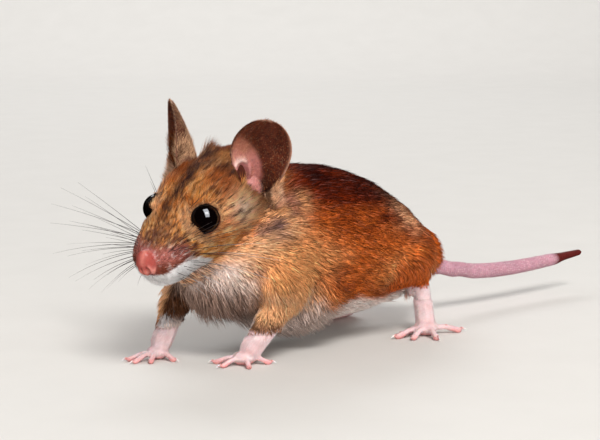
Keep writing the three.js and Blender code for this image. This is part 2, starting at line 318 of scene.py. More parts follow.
def cover(rings):
    """Faces over a row of rings of equal length, closed by a point after the last ring at each end."""
    count, sides = rings.shape[:2]
    grid = np.arange(count * sides).reshape(count, sides)
    here, there = grid[:-1], grid[1:]
    quads = np.stack([here, np.roll(here, -1, 1), np.roll(there, -1, 1), there], 2).reshape(-1, 4)
    first, last = count * sides, count * sides + 1
    ends = [
        np.stack([np.full(sides, first), np.roll(grid[0], -1), grid[0]], 1),
        np.stack([np.full(sides, last), grid[-1], np.roll(grid[-1], -1)], 1),
    ]
    return [quads, np.concatenate(ends)]


# %% [markdown]
# ## Flesh
# A real mouse has one skin from nose to tail. The solids are cut apart, so copies of them are
# swelled until they overlap, and a voxel remesh wraps them all in one even net. Smoothing takes the
# facets off, and then the net is drawn inwards by the depth of the coat, which is nothing on bare
# feet and nose, and about a millimetre on the flanks.

# %% Wrap the flesh
SWELL = 0.25
FLESH_CELL = 0.5
EYE_BED = 2.8  # radius of a ball that holds the flesh out round each eye
FURRED = ["head", "neck", "trunk"] + [f"{leg}_{word}" for leg in ("foreleg", "hindleg") for word in SIDES]
FEET = [f"{foot}_{word}" for foot in ("forefoot", "hindfoot") for word in SIDES]
TAIL = ["tail_base", "tail_end", "tail_tip"]


def add_solid(whole, node, swell):
    """Adds a swelled copy of a solid, in millimetres."""
    copy = bmesh.new()
    copy.from_mesh(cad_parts[node].data)
    bmesh.ops.remove_doubles(copy, verts=copy.verts, dist=1e-6)
    bmesh.ops.scale(copy, vec=(1 / MM,) * 3, verts=copy.verts)
    copy.normal_update()
    for corner in copy.verts:
        corner.co += corner.normal * swell
    carrier = bpy.data.meshes.new(node)
    copy.to_mesh(carrier)
    whole.from_mesh(carrier)
    bpy.data.meshes.remove(carrier)
    copy.free()


def wrapped(name, nodes, cell):
    whole = bmesh.new()
    for node in nodes:
        add_solid(whole, node, SWELL)
    if "head" in nodes:
        for centre in eye_centres.values():
            ball = bmesh.ops.create_uvsphere(whole, u_segments=24, v_segments=16, radius=EYE_BED)
            bmesh.ops.translate(whole, verts=ball["verts"], vec=Vector(centre))
    piece = object_of(name, filled(name, whole))
    return with_modifier(piece, "REMESH", mode="VOXEL", voxel_size=cell)


flesh = wrapped("flesh", [*FURRED, "nose"], FLESH_CELL)
print("flesh:", len(flesh.data.vertices), "points")

# %% Which solid each point of the skin belongs to
solid_names = sorted(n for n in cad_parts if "whisker" not in n)


def solid_tree():
    places, faces, owners = [], [], []
    for number, node in enumerate(solid_names):
        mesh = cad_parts[node].data
        mesh.calc_loop_triangles()
        start = len(places)
        places.extend(tuple(v.co / MM) for v in mesh.vertices)
        triangles = [tuple(start + i for i in t.vertices) for t in mesh.loop_triangles]
        faces.extend(triangles)
        owners.extend([number] * len(triangles))
    return BVHTree.FromPolygons(places, faces), np.array(owners)


SOLID_TREE, SOLID_OF_FACE = solid_tree()


class Zones:
    """Soft shares, from 0 to 1, of how much each point of a mesh belongs to some solids."""

    def __init__(self, points, edges):
        self.owner = SOLID_OF_FACE[[SOLID_TREE.find_nearest(p)[2] for p in points]]
        self.edges = edges

    def of(self, nodes, rounds=12):
        wanted = [solid_names.index(n) for n in nodes]
        return smear(np.isin(self.owner, wanted).astype(float), self.edges, rounds)


# %% Smooth the flesh and draw it in by the coat's depth
EYE_LOOKS = np.array([0.5, 0.72, 0.48])  # ahead, out to its side and up
# The coat's depth in mm over the trunk and neck, from brow to nape, and from hock to thigh
COAT_DEPTHS = {"trunk": 1.05, "neck": 0.95}
BROW_DEPTH, NAPE_DEPTH, HOCK_DEPTH, THIGH_DEPTH = 0.35, 0.75, 0.15, 0.7
FLESH_ROUNDS = 26


def eye_axis(side):
    return unit(from_head(EYE_LOOKS * [1, side, 1]) - HEAD_ORIGIN)


def coat_depth(points, zones):
    """How far the skin lies under the tips of the coat, in mm."""
    head = to_head(points)
    depth = sum(deep * zones.of([node]) for node, deep in COAT_DEPTHS.items())
    depth += zones.of(["head"]) * mix(BROW_DEPTH, NAPE_DEPTH, soft_step(17, 2, head[:, 0]))
    legs = [n for n in FURRED if "leg" in n]
    depth += zones.of(legs) * mix(HOCK_DEPTH, THIGH_DEPTH, soft_step(5, 10, points[:, 2]))
    return depth * soft_step(19.5, 16.5, head[:, 0])


def shape_flesh(piece):
    mesh = piece.data
    edges = edges_of(mesh)
    points = points_of(mesh)
    zones = Zones(points, edges)
    firm = soft_step(14, 19, to_head(points)[:, 0])
    points = relaxed(points, edges, FLESH_ROUNDS, (1 - 0.7 * firm)[:, None])
    move_points(mesh, points)
    normals = even_normals(mesh, edges, 4)
    depth = smear(coat_depth(points, zones), edges, 6)
    points = points - normals * (depth + SWELL)[:, None]
    points = smear(points, edges, 1)
    move_points(mesh, points)


shape_flesh(flesh)
print("flesh box", points_of(flesh.data).min(0).round(1), points_of(flesh.data).max(0).round(1))

# %% [markdown]
# ## Face
# The lids, nostrils and mouth are too small for the net of the flesh, so its faces are split once
# over the front of the head and once more round the eyes. Each eye is a ball, and the skin is moved
# along the rays from its middle: under the ball's surface within the opening, up into a thin rim at
# the edge, and back to the old surface further out.

# %% A finer net over the face
LID_ANGLE = radians(64)
LID_RIM = 0.1
LID_REACH = 3.2  # from an eye's middle, over the lid
FACE_FROM, NOSE_FROM = 9.5, 20  # along the head, where the net gets finer and finer still
EYE_NET, EYE_NET_ANGLE = 3.5, radians(110)


def split_where(mesh, chosen):
    """Splits the faces of a mesh whose points are all chosen."""
    net = bmesh.new()
    net.from_mesh(mesh)
    net.verts.ensure_lookup_table()
    edges = [e for e in net.edges if chosen[e.verts[0].index] and chosen[e.verts[1].index]]
    bmesh.ops.subdivide_edges(net, edges=edges, cuts=1, use_grid_fill=True)
    net.to_mesh(mesh)
    net.free()


def eye_rays(points, side_word):
    """Distance from an eye's middle, and angle from the direction it looks in."""
    away = points - eye_centres[side_word]
    distance = np.linalg.norm(away, axis=1)
    direction = away / np.maximum(distance, 1e-6)[:, None]
    angle = np.arccos(np.clip(direction @ eye_axis(SIDES[side_word]), -1, 1))
    return distance, direction, angle


def near_eyes(points):
    near = np.zeros(len(points), bool)
    for word in SIDES:
        distance, _, angle = eye_rays(points, word)
        near |= (distance < EYE_NET) & (angle < EYE_NET_ANGLE)
    return near


split_where(flesh.data, to_head(points_of(flesh.data))[:, 0] > FACE_FROM)
split_where(flesh.data, near_eyes(points_of(flesh.data)))
split_where(flesh.data, to_head(points_of(flesh.data))[:, 0] > NOSE_FROM)
points = points_of(flesh.data)
move_points(flesh.data, smear(points, edges_of(flesh.data), 2))
print("face:", len(flesh.data.vertices), "points")


# %% Lids, nostrils and mouth
UNDER_BALL = 0.25  # how far the skin dips under an eye's surface
SOCKET_FADE = (3.4, 4.2)  # from an eye's middle, where the lid runs out into the old surface
MUZZLE_MIDDLE = np.array([20.2, 0, 0.5])
NOSE_GROOVE, NOSE_GROOVE_WIDTH = 0.16, 0.28


def bump_at(head, middle, reach, height):
    """A round bump or pit, with its reach along the head's three axes."""
    return height * np.exp(-((((head - middle) / reach) ** 2).sum(1)))


def seat_eyes(points):
    for word in SIDES:
        distance, direction, angle = eye_rays(points, word)
        rim = EYE_RADIUS + LID_RIM * blot(angle - LID_ANGLE, 0.1, 0.13)
        seated = mix(EYE_RADIUS - UNDER_BALL, rim, soft_step(LID_ANGLE - 0.1, LID_ANGLE, angle))
        out = soft_step(LID_ANGLE + 0.12, LID_ANGLE + 0.62, angle)
        out = np.maximum(out, soft_step(*SOCKET_FADE, distance))
        moved = mix(seated, distance, out)
        placed = eye_centres[word] + direction * moved[:, None]
        points = np.where((distance < SOCKET_FADE[1])[:, None], placed, points)
    return points


def seat_nose(points):
    """Moves the skin out to the nose's ball, along rays from a place inside the muzzle."""
    away = to_head(points) - MUZZLE_MIDDLE
    distance = np.linalg.norm(away, axis=1)
    direction = unit(away)
    steer, start = direction / NOSE_RADII, (MUZZLE_MIDDLE - NOSE_AT) / NOSE_RADII
    square, half = (steer**2).sum(1), (steer * start).sum(1)
    inner = half**2 - square * ((start**2).sum() - 1)
    reach = (np.sqrt(np.maximum(inner, 0)) - half) / square * (inner > 0)
    groove = NOSE_GROOVE * blot(distance, reach, NOSE_GROOVE_WIDTH) * (inner > 0)
    moved = np.where(away[:, 0] > 0, np.maximum(distance, reach) - groove, distance)
    return from_head(MUZZLE_MIDDLE + direction * moved[:, None])


def nose_marks(head):
    """Shares of the nose's own marks: the slit of each nostril, the rim round it, and the groove."""
    across_nose, up = abs(head[:, 1]), (head[:, 2] - 0.35) * 0.8
    out = np.hypot(across_nose, up)
    turn = np.degrees(np.arctan2(up, across_nose))
    there = soft_step(-75, -55, turn) * soft_step(45, 20, turn) * soft_step(22.2, 22.8, head[:, 0])
    slit = there * blot(out, 1.05, 0.15)
    rim = there * blot(out, 1.4, 0.16)
    low = soft_step(1.3, 0.7, head[:, 2]) * soft_step(21.2, 22.2, head[:, 0])
    groove = low * blot(head[:, 1], 0, 0.15) * soft_step(-3.2, -2.8, head[:, 2])
    return slit, rim, groove


# Middle, reach along the head's axes and height of each bump of the face, with Y out to the side
FACE_BUMPS = (
    ([18.4, 3.4, -0.2], [1.9, 1.6, 1.5], 0.3),  # whisker pad
    ([23.9, 0.55, 0.1], [1.2, 0.4, 0.6], 0.12),  # pad by the groove
    ([13.8, 2.3, 5.2], [2.4, 1.1, 1.2], 0.5),  # between nose and eye
)
FAR_BROW = ([13.5, -4.2, 5.2], [1.9, 1.3, 0.9], 0.85)
MOUTH_DEPTH, NOSTRIL_DEPTH, SLOT_DEPTH, NOSTRIL_RIM = 0.4, 0.4, 0.22, 0.1


def shape_face(piece):
    mesh = piece.data
    points = seat_nose(seat_eyes(points_of(mesh)))
    points = np.where((to_head(points)[:, 0] > 20.3)[:, None], smear(points, edges_of(mesh), 1), points)
    move_points(mesh, points)
    normals = even_normals(mesh, edges_of(mesh), 2)
    head = to_head(points)
    slit, rim, groove = nose_marks(head)
    out = NOSTRIL_RIM * rim - NOSTRIL_DEPTH * slit - SLOT_DEPTH * groove
    for side in SIDES.values():
        for middle, reach, high in FACE_BUMPS:
            out += bump_at(head, np.array(middle) * [1, side, 1], reach, high)
    out += bump_at(head, *FAR_BROW)
    points = points + normals * out[:, None]
    x, _, z = to_head(points).T
    mouth = blot(z + 3.3 + 0.1 * (20 - x), 0, 0.22) * (soft_step(11.5, 13.5, x) * (z < -1))
    move_points(mesh, points - normals * (MOUTH_DEPTH * mouth)[:, None])


shape_face(flesh)
print("the face ends", to_head(points_of(flesh.data))[:, 0].max().round(1), "mm ahead of the head's origin")

# %% [markdown]
# ## Feet
# The feet are bare and seen from close by. They are wrapped on their own in a finer net, together
# with the end of the leg that they grow from, so that the skin can be joined higher up, under the
# hem of the coat. Smoothing turns their facets into round toes with soft knuckles.

# %% Feet
FOOT_CELLS = {"forefoot": 0.2, "hindfoot": 0.25}
FOOT_CUT = 2.2  # above a foot's solid, where its leg is cut off
FOOT_ROUNDS = 14
SOLE_GAP = 0.02


def foot(word_foot, word_leg):
    piece = wrapped(word_foot, [word_foot, word_leg], FOOT_CELLS[word_foot.split("_")[0]])
    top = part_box(word_foot)[1].z / MM + FOOT_CUT
    net = bmesh.new()
    net.from_mesh(piece.data)
    whole = net.verts[:] + net.edges[:] + net.faces[:]
    cut = bmesh.ops.bisect_plane(
        net, geom=whole, dist=1e-5, plane_co=(0, 0, top), plane_no=(0, 0, 1), clear_outer=True
    )
    rim = [e for e in cut["geom_cut"] if isinstance(e, bmesh.types.BMEdge)]
    bmesh.ops.triangle_fill(net, edges=rim, use_beauty=True)
    bmesh.ops.recalc_face_normals(net, faces=net.faces)
    net.to_mesh(piece.data)
    net.free()
    mesh = piece.data
    edges = edges_of(mesh)
    points = relaxed(points_of(mesh), edges, FOOT_ROUNDS)
    move_points(mesh, points)
    normals = even_normals(mesh, edges, 3)
    under_hem = soft_step(top - 2.4, top - 0.6, points[:, 2])
    points = points - normals * mix(SWELL - 0.04, SWELL + 0.75, under_hem)[:, None]
    points[:, 2] = np.maximum(points[:, 2], SOLE_GAP)
    move_points(mesh, points)
    return piece


feet = [foot(f, f.replace("forefoot", "foreleg").replace("hindfoot", "hindleg")) for f in FEET]
print("feet:", [len(f.data.vertices) for f in feet], "points")

# %% [markdown]
# ## Ears
# A mouse's ear is a thin round spoon, open to the front and side, with a plump fold low at its
# front. It could be wrapped like the flesh, but a net fine enough for its edge would be heavy. Its
# shape follows a rule, so it is laid out row by row: each row is a crescent, deep at the foot and
# shallow at the tip, with the skin's two faces drawn together towards the rim.

# %% Ears
EAR_AT = np.array([1.6, 7.2, 3.8])
EAR_LENGTHS = {"left": 11.8, "right": 12.3}
EAR_WIDTH = 10.2
EAR_FOOT_AHEAD = {"left": 0.46, "right": 0.8}
EAR_FOOT_BEHIND = 0.76
EAR_SKIN = 0.55
EAR_SPLAY, EAR_LEAN, EAR_HEADING = radians(13.5), radians(20), radians(42)
EAR_BURIED = 0.24
EAR_CUP = 3.7
EAR_FORWARD = 1.6
EAR_ROWS, EAR_ACROSS = 50, 41
CUP_AT, CUP_REACH, CUP_DEPTH = np.array([0.9, 6.7, 4.5]), [2.3, 1.9, 2.3], 1.5


def ear_axes(side):
    """The directions that an ear opens to, runs across and stands along, in the head's frame."""
    stand = unit(np.array([-math.tan(EAR_LEAN), side * math.tan(EAR_SPLAY), 1.0]))
    opens = np.array([math.cos(EAR_HEADING), side * math.sin(EAR_HEADING), 0.0])
    opens = unit(opens - opens @ stand * stand)
    return np.array([opens, np.cross(stand, opens), stand])


def ear_half(up, front, word):
    """Half the width of an ear at a height from 0 at its foot to 1 at its tip, ahead or behind."""
    closing = np.sqrt(1 - np.clip((up - 0.52) / 0.48, 0, 0.999) ** 2)
    foot = np.where(front > 0, EAR_FOOT_AHEAD[word], EAR_FOOT_BEHIND)
    return EAR_WIDTH / 2 * closing * (foot + (1 - foot) * soft_step(0, 0.52, up)), closing


def arc_of_ear(front, up):
    """The thin pale fold that runs back from the front edge, a third of the way up."""
    fold = blot(up - 0.345 + 0.45 * (front - 0.65) ** 2, 0, 0.035)
    return fold * soft_step(0.3, 0.45, front) * soft_step(1.02, 0.9, front)


def ear_folds(front, up):
    """How far the ear's skin stands forward: front is 1 at the front edge, up is 1 at the tip."""
    arc = 0.7 * arc_of_ear(front, up)
    rise = 0.8 * blot(front - 0.05 - 0.9 * up, 0, 0.17) * soft_step(0.4, 0.2, up)
    pocket = -0.8 * np.exp(-(((front - 0.72) / 0.22) ** 2) - (((up - 0.17) / 0.11) ** 2))
    rib = 0.14 * np.cos(9 * (front + 0.35 * up)) * soft_step(0.3, 0.55, up) * soft_step(1, 0.7, abs(front))
    return (arc + rise + pocket + rib) * soft_step(0, 0.08, up)


def ear(word):
    side = SIDES[word]
    tall = EAR_LENGTHS[word]
    steps = np.linspace(-1, 1, EAR_ACROSS)
    rings = []
    for up in np.linspace(-EAR_BURIED, 1, EAR_ROWS, endpoint=False) + 0.3 / EAR_ROWS:
        up = min(up, 0.995)
        half, closing = ear_half(up, -side * steps, word)
        cup = closing * (1.1 + EAR_CUP * (1 - up) ** 1.3)
        forward = EAR_FORWARD * (1 - up) ** 1.5
        lean = 2 * cup * steps / half
        thin = EAR_SKIN / 2 * np.sqrt(1 - 0.93 * steps**6) * mix(1.0, 0.45, up)
        folds = ear_folds(-side * steps, up)
        for face in (1, -1):
            away = face * thin / np.hypot(1, lean) + folds * (0.35 if face < 0 else 1)
            opens = forward + cup * (steps**2 - 1) + away
            over = steps * half - lean * (away - folds)
            row = np.stack([opens, over, np.full_like(steps, up * tall)], 1)
            rings.append(row if face > 0 else row[::-1])
    rings = np.array(rings).reshape(EAR_ROWS, 2 * EAR_ACROSS, 3)
    foot = [-1.2, 0, -EAR_BURIED * tall - 0.4]
    places = np.concatenate([rings.reshape(-1, 3), [foot, [0, 0, tall]]])
    placed = places @ ear_axes(side) + EAR_AT * [1, side, 1]
    return object_of("ear_" + word, mesh_of("ear_" + word, from_head(placed), cover(rings)))


def carve_cups(piece):
    """Hollows the head in front of each ear's foot, so that the cup of the ear runs down into it."""
    mesh = piece.data
    points = points_of(mesh)
    head = to_head(points)
    normals = even_normals(mesh, edges_of(mesh), 3)
    depth = sum(bump_at(head, CUP_AT * [1, side, 1], CUP_REACH, CUP_DEPTH) for side in SIDES.values())
    move_points(mesh, points - normals * depth[:, None])


def on_ear(points, word):
    """Where points lie on an ear: 1 at its front edge, 1 at its tip, and mm ahead of its middle."""
    side = SIDES[word]
    opens, over, up = ((to_head(points) - EAR_AT * [1, side, 1]) @ ear_axes(side).T).T
    up = up / EAR_LENGTHS[word]
    half, _ = ear_half(np.clip(up, 0, 0.995), -side * over, word)
    return -side * over / half, up, opens


def own_ear(points):
    """The places of points on the ear of their own side."""
    left, right = (np.stack(on_ear(points, word)) for word in ("left", "right"))
    return np.where(to_head(points)[:, 1] > 0, left, right)


carve_cups(flesh)
ears = [ear(word) for word in SIDES]
print("ears:", [len(e.data.vertices) for e in ears], "points")

# %% [markdown]
# ## Tail
# The tail is a bare tapering tube with rings of fine scales, and here its last 9 mm are a thin dried
# tip. The line and the thickness are read off the solids, slice by slice, and the rings are real
# ridges, so that they show at any angle of light.

# %% Tail
TAIL_SIDES = 24
TAIL_RING = 0.55
TAIL_RAW_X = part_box("tail_tip")[0].x / MM
TAIL_STEPS = 4
TAIL_SLICE = 0.6  # half the depth of a slice
TAIL_EVENING = 60  # rounds of smoothing along its line
TAIL_SLOPE = (32, 40)  # stops just behind its root, whose slope the buried end keeps


def tail_slices():
    """Middle and radius of the tail along X, from the solids."""
    places = np.concatenate([points_of(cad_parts[n].data) for n in TAIL]) / MM
    stops = np.unique(places[:, 0].round(1))
    found = []
    for x in stops:
        ring = places[abs(places[:, 0] - x) < TAIL_SLICE]
        if len(ring) >= 6:
            middle = (ring.min(0) + ring.max(0)) / 2
            found.append([x, middle[1], middle[2], (np.ptp(ring[:, 1]) + np.ptp(ring[:, 2])) / 4])
    return np.array(found)


def tail():
    slices = tail_slices()
    root = slices[0, 0] - 4
    end = slices[-1, 0]
    stops = np.arange(root, end - 0.1, TAIL_RING / TAIL_STEPS)
    line = [np.interp(stops, slices[:, 0], slices[:, i]) for i in (1, 2, 3)]
    for _ in range(TAIL_EVENING):
        line = [np.concatenate([v[:1], (v[:-2] + 2 * v[1:-1] + v[2:]) / 4, v[-1:]]) for v in line]
    near, far = TAIL_SLOPE
    slope = (line[1][far] - line[1][near]) / (stops[far] - stops[near])
    line[1] = np.where(stops < slices[0, 0], line[1][near] + slope * (stops - stops[near]), line[1])
    phase = (np.arange(len(stops)) % TAIL_STEPS) / TAIL_STEPS
    scaled = soft_step(slices[0, 0] - 1, slices[0, 0] + 3, stops)
    ridge = 1 + 0.035 * scaled * np.cos(2 * math.pi * phase)
    closing = np.sqrt(np.clip((end - stops) / 0.8, 0.02, 1))
    angles = np.arange(TAIL_SIDES) / TAIL_SIDES * 2 * math.pi
    radius = (line[2] * ridge * closing)[:, None]
    rings = np.stack(
        [
            np.repeat(stops[:, None], TAIL_SIDES, 1),
            line[0][:, None] + radius * np.cos(angles),
            line[1][:, None] + radius * np.sin(angles),
        ],
        2,
    )
    ends = [[stops[0] - 0.5, line[0][0], line[1][0]], [end, line[0][-1], line[1][-1]]]
    places = np.concatenate([rings.reshape(-1, 3), ends])
    return object_of("tail", mesh_of("tail", places, cover(rings)))


tail_tube = tail()
print("tail:", len(tail_tube.data.vertices), "points")

# %% Join them in one skin
skin = flesh
for limb in [*feet, *ears, tail_tube]:
    before = len(skin.data.polygons)
    skin = with_modifier(skin, "BOOLEAN", operation="UNION", solver="MANIFOLD", object=limb)
    print("joined", limb.name, len(skin.data.polygons) - before, "faces more")
    bpy.data.objects.remove(limb)
skin.name = "skin"
skin_triangles = triangles_of(skin.data)
print("skin:", len(skin_triangles), "triangles")


# %% [markdown]
# ## Markings
# The coat's colours belong to places on the body, so one function gives the colour of any point,
# and both the skin and the hairs ask it. It starts from the rusty brown of the flank and lays one
# marking over another: the dark back, the sandy shoulder, the white belly, the streak on the
# forehead, the pale ring round each eye, the white lip. Mottling bends the borders. Among the
# markings lie painted light and shade: a sheen on the upper rump, shade under the neck and at the
# front of the belly, and shade over the fur's own colour behind the cheek and inside the far foreleg.


# %% Colours
def colour(red, green, blue):
    """A colour given from 0 to 255, as the linear values that a shader works in."""
    tone = np.array([red, green, blue]) / 255
    return np.where(tone < 0.04045, tone / 12.92, ((tone + 0.055) / 1.055) ** 2.4)


BACK_DARK = colour(50, 3, 0)
BACK_BROWN = colour(122, 38, 2)
FLANK = colour(204, 102, 38)
RUMP = colour(206, 94, 18)
# A painted highlight: the pale sheen laid on the upper rump
PAINTED_SHEEN = colour(255, 190, 142)
HAUNCH = colour(252, 168, 98)
SHOULDER = colour(240, 170, 110)
LEG_GREY = colour(128, 84, 66)
# Partly dark brown fur and partly painted shade, inside the far foreleg
LEG_SHADE = colour(78, 42, 22)
NECK_CREAM = colour(232, 184, 144)
NECK_GREY = colour(112, 82, 82)
BELLY = colour(240, 222, 214)
FACE_GOLD = colour(238, 158, 84)
FACE_ORANGE = colour(220, 112, 36)
CROWN_BROWN = colour(132, 72, 40)
STREAK = colour(62, 26, 20)
EYE_RING = colour(220, 170, 128)
FACE_PALE = colour(252, 206, 150)
TEMPLE_GREY = colour(246, 208, 182)
MUZZLE_BROWN = colour(120, 70, 56)
MUZZLE_PINK = colour(172, 98, 92)
MUZZLE_LOW = colour(134, 62, 50)
NOSE_RED = colour(170, 78, 70)
NOSE_PAD = colour(224, 140, 126)
NOSTRIL = colour(112, 26, 24)
LIP_WHITE = colour(252, 244, 244)
PAW_PINK = colour(226, 204, 206)
PAD_PINK = colour(222, 152, 150)
TAIL_PINK = colour(190, 140, 154)
RAW_RED = colour(96, 22, 18)
EAR_BROWN = colour(92, 38, 20)
EAR_DARK = colour(52, 14, 6)
EAR_PINK = colour(190, 122, 116)
EAR_ORANGE = colour(164, 100, 80)
EAR_BRIGHT = colour(214, 148, 144)
EAR_HOLLOW = colour(150, 92, 92)
EAR_ARC = colour(236, 204, 196)
EAR_RIM = colour(176, 130, 106)
LID_GREY = colour(118, 84, 80)
UNDERCOAT = colour(70, 56, 56)
# Painted shade, for the underside of the neck and the front of the belly
CHEST_SHADE = colour(138, 106, 90)

# %% The body's middle line, and heights above it
MIDLINE_REACH, MIDLINE_STOPS, MIDLINE_SLICE = 22, 12, 2.5


def midline():
    """Along X: the body's middle Y and Z, and its half height, from the solids."""
    places = np.concatenate([points_of(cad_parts[n].data) for n in ("neck", "trunk")]) / MM
    found = []
    for x in TRUNK_X + np.linspace(-MIDLINE_REACH, MIDLINE_REACH, MIDLINE_STOPS):
        ring = places[abs(places[:, 0] - x) < MIDLINE_SLICE]
        low, high = ring.min(0), ring.max(0)
        found.append([x, *(low[1:] + high[1:]) / 2, (high[2] - low[2]) / 2])
    return np.array(found)


MIDLINE = midline()
print("middle of the body, from front to back:", MIDLINE[:, 2].round(1))


def body_middle(points):
    return [np.interp(points[:, 0], MIDLINE[:, 0], column) for column in MIDLINE.T[1:]]


def body_height(points):
    """From -1 at the belly to 1 along the back."""
    _, middle, half = body_middle(points)
    return (points[:, 2] - middle) / half


# %% Where the coat ends on each leg
HEMS = {"foreleg_left": 5.4, "foreleg_right": 5.0, "hindleg_left": 8.2, "hindleg_right": 4.4}
print("hems:", HEMS)


def hem_height(shares):
    """The height of the hem at points, from the shares of the four legs."""
    total = sum(shares[leg] for leg in HEMS)
    return sum(shares[leg] * hem for leg, hem in HEMS.items()) / np.maximum(total, 1e-3)


# %% The body's markings
def body_colour(points):
    height = body_height(points)
    x = points[:, 0] - TRUNK_X
    wave = mottling(points * [0.4, 1, 1], 2.4, 1)
    fleck = mottling(points * [0.35, 1, 1], 1.0, 2)
    patch = mottling(points, 5.5, 3)
    # The pale sheen on the upper rump is a painted highlight, stronger on the left side, which faces the
    # light
    gloss = blot(x, 10.5 + 2 * wave, 3.6) * blot(height, 0.55 + 0.1 * fleck, 0.22)
    right = points[:, 1] > body_middle(points)[0]
    sandy = soft_step(-1, -14, x + 3 * wave + 2.5 * patch) * soft_step(0.35, -0.1, height + 0.15 * wave)
    # Painted shade: the belly grows darker towards its front, under the chest
    belly = mix(BELLY, CHEST_SHADE, 0.45 * soft_step(1, -7, x + 2 * wave))
    return layered(
        FLANK,
        (BACK_BROWN, soft_step(0.1, 0.65, height + 0.2 * wave + 0.16 * patch)),
        (BACK_BROWN, 0.6 * soft_step(0.15, 0.8, wave + 0.5 * fleck)),
        (RUMP, 0.8 * soft_step(6, 18, x) * soft_step(0.8, 0.1, height)),
        (PAINTED_SHEEN, mix(0.9, 0.25, right) * gloss),
        (HAUNCH, 0.9 * blot(x, 9, 6.5) * blot(height, -0.3 + 0.1 * wave, 0.28)),
        (SHOULDER, 0.85 * sandy),
        (BACK_DARK, 0.92 * soft_step(0.55, 0.92, height + 0.14 * wave + 0.1 * fleck)),
        (belly, soft_step(-0.56, -0.72, height + 0.05 * wave + 0.05 * fleck)),
    )


def neck_colour(points):
    height = body_height(points)
    x, _, z = to_head(points).T
    wave = mottling(points * [0.4, 1, 1], 2.4, 1)
    fleck = mottling(points * [0.5, 1, 1], 1.2, 4)
    patch = mottling(points, 3.2, 5)
    # Behind the cheek and below the ear's foot the neck's grey is laid thicker: partly the grey base of the
    # fur, partly painted shade
    grey_base_and_shade = blot(x, 3.2, 1.5) * blot(z, -3.4, 1.8) + blot(x, -1.5, 1.6) * blot(z, 0.8, 2.2)
    rusty = soft_step(TRUNK_X - 17, TRUNK_X - 8, points[:, 0] + 2 * patch)
    return layered(
        SHOULDER,
        (NECK_CREAM, 0.5 + 0.5 * wave),
        (NECK_GREY, 0.75 * soft_step(0.1, 0.75, patch + 0.6 * fleck)),
        (NECK_GREY, 0.8 * np.clip(grey_base_and_shade * (1 + 0.6 * fleck), 0, 1)),
        (FLANK, 0.75 * rusty * soft_step(-0.5, 0.6, wave + patch)),
        (LIP_WHITE * 0.85, 0.75 * blot(x, 11.5, 2.6) * blot(z, -6.8, 2.0)),
        (BACK_BROWN, soft_step(0.4, 0.75, height + 0.12 * wave)),
        (BACK_DARK, 0.85 * soft_step(0.75, 1.05, height + 0.1 * wave)),
        (BELLY, 0.8 * soft_step(-0.3, -0.6, height + 0.08 * wave)),
        # Painted shade under the neck
        (CHEST_SHADE, 0.85 * soft_step(-0.45, -0.8, height + 0.1 * wave + 0.1 * fleck)),
    )


def leg_colour(points, shares):
    """Sandy in front and outside, pale behind and inside, greyer down to the hem; dark inside the far
    foreleg, which is partly dark fur and partly painted shade.
    """
    above = points[:, 2] - hem_height(shares)
    hind = np.clip(shares["hindleg_left"] + shares["hindleg_right"], 0, 1)
    far = shares["foreleg_right"]
    turned = mix(shares["behind"], shares["within"], hind)
    # Inside, the near legs are pale; the far foreleg is dark, partly its dark fur and partly painted shade
    inner = mix(BELLY, LEG_SHADE, far)
    return layered(
        mix(SHOULDER, NECK_CREAM, 0.5),
        (LEG_GREY, 0.8 * soft_step(2.6, 0.5, above + mottling(points, 1.8, 6))),
        (RUMP, hind * 0.9),
        (inner, mix(0.85, 0.95, far) * soft_step(0.15, 0.65, turned + 0.35 * far)),
        (BELLY, 0.7 * far * soft_step(2.2, 0.2, above) * soft_step(0, 0.5, turned)),
        (RUMP * 0.8, 0.8 * (soft_step(-0.3, -0.7, shares["behind"]) * far)),
    )


# %% The head's markings
# Along the head and up, the border of the white lip; along and sideways, the middle of the streak
LIP = np.array(
    [[6, -8], [9, -6.8], [11.3, -5.3], [13, -3.6], [15, -1.9], [16.4, -0.7], [18.8, 0.25], [20, 0.05],
     [21.5, -0.5], [22, -1.2], [22.6, -1.8]]
)
STREAK_LINE = np.array([[0, -2.9], [2, -2.4], [7, -0.9], [10.5, -0.6], [14.5, -0.9], [17, -0.6]])


def above_lip(points):
    """The height above the border between the dark face and the white lip."""
    x, _, z = to_head(points).T
    return z - np.interp(x, *LIP.T)


def off_nose(points):
    """About 1 on the nose's ball, and more beyond it."""
    return np.linalg.norm((to_head(points) - NOSE_AT) / NOSE_RADII, axis=1)


def streaks(points, size, seed):
    """Mottling drawn out along the hair of the face."""
    return mottling(to_head(points) * [0.25, 1, 1], size, seed)


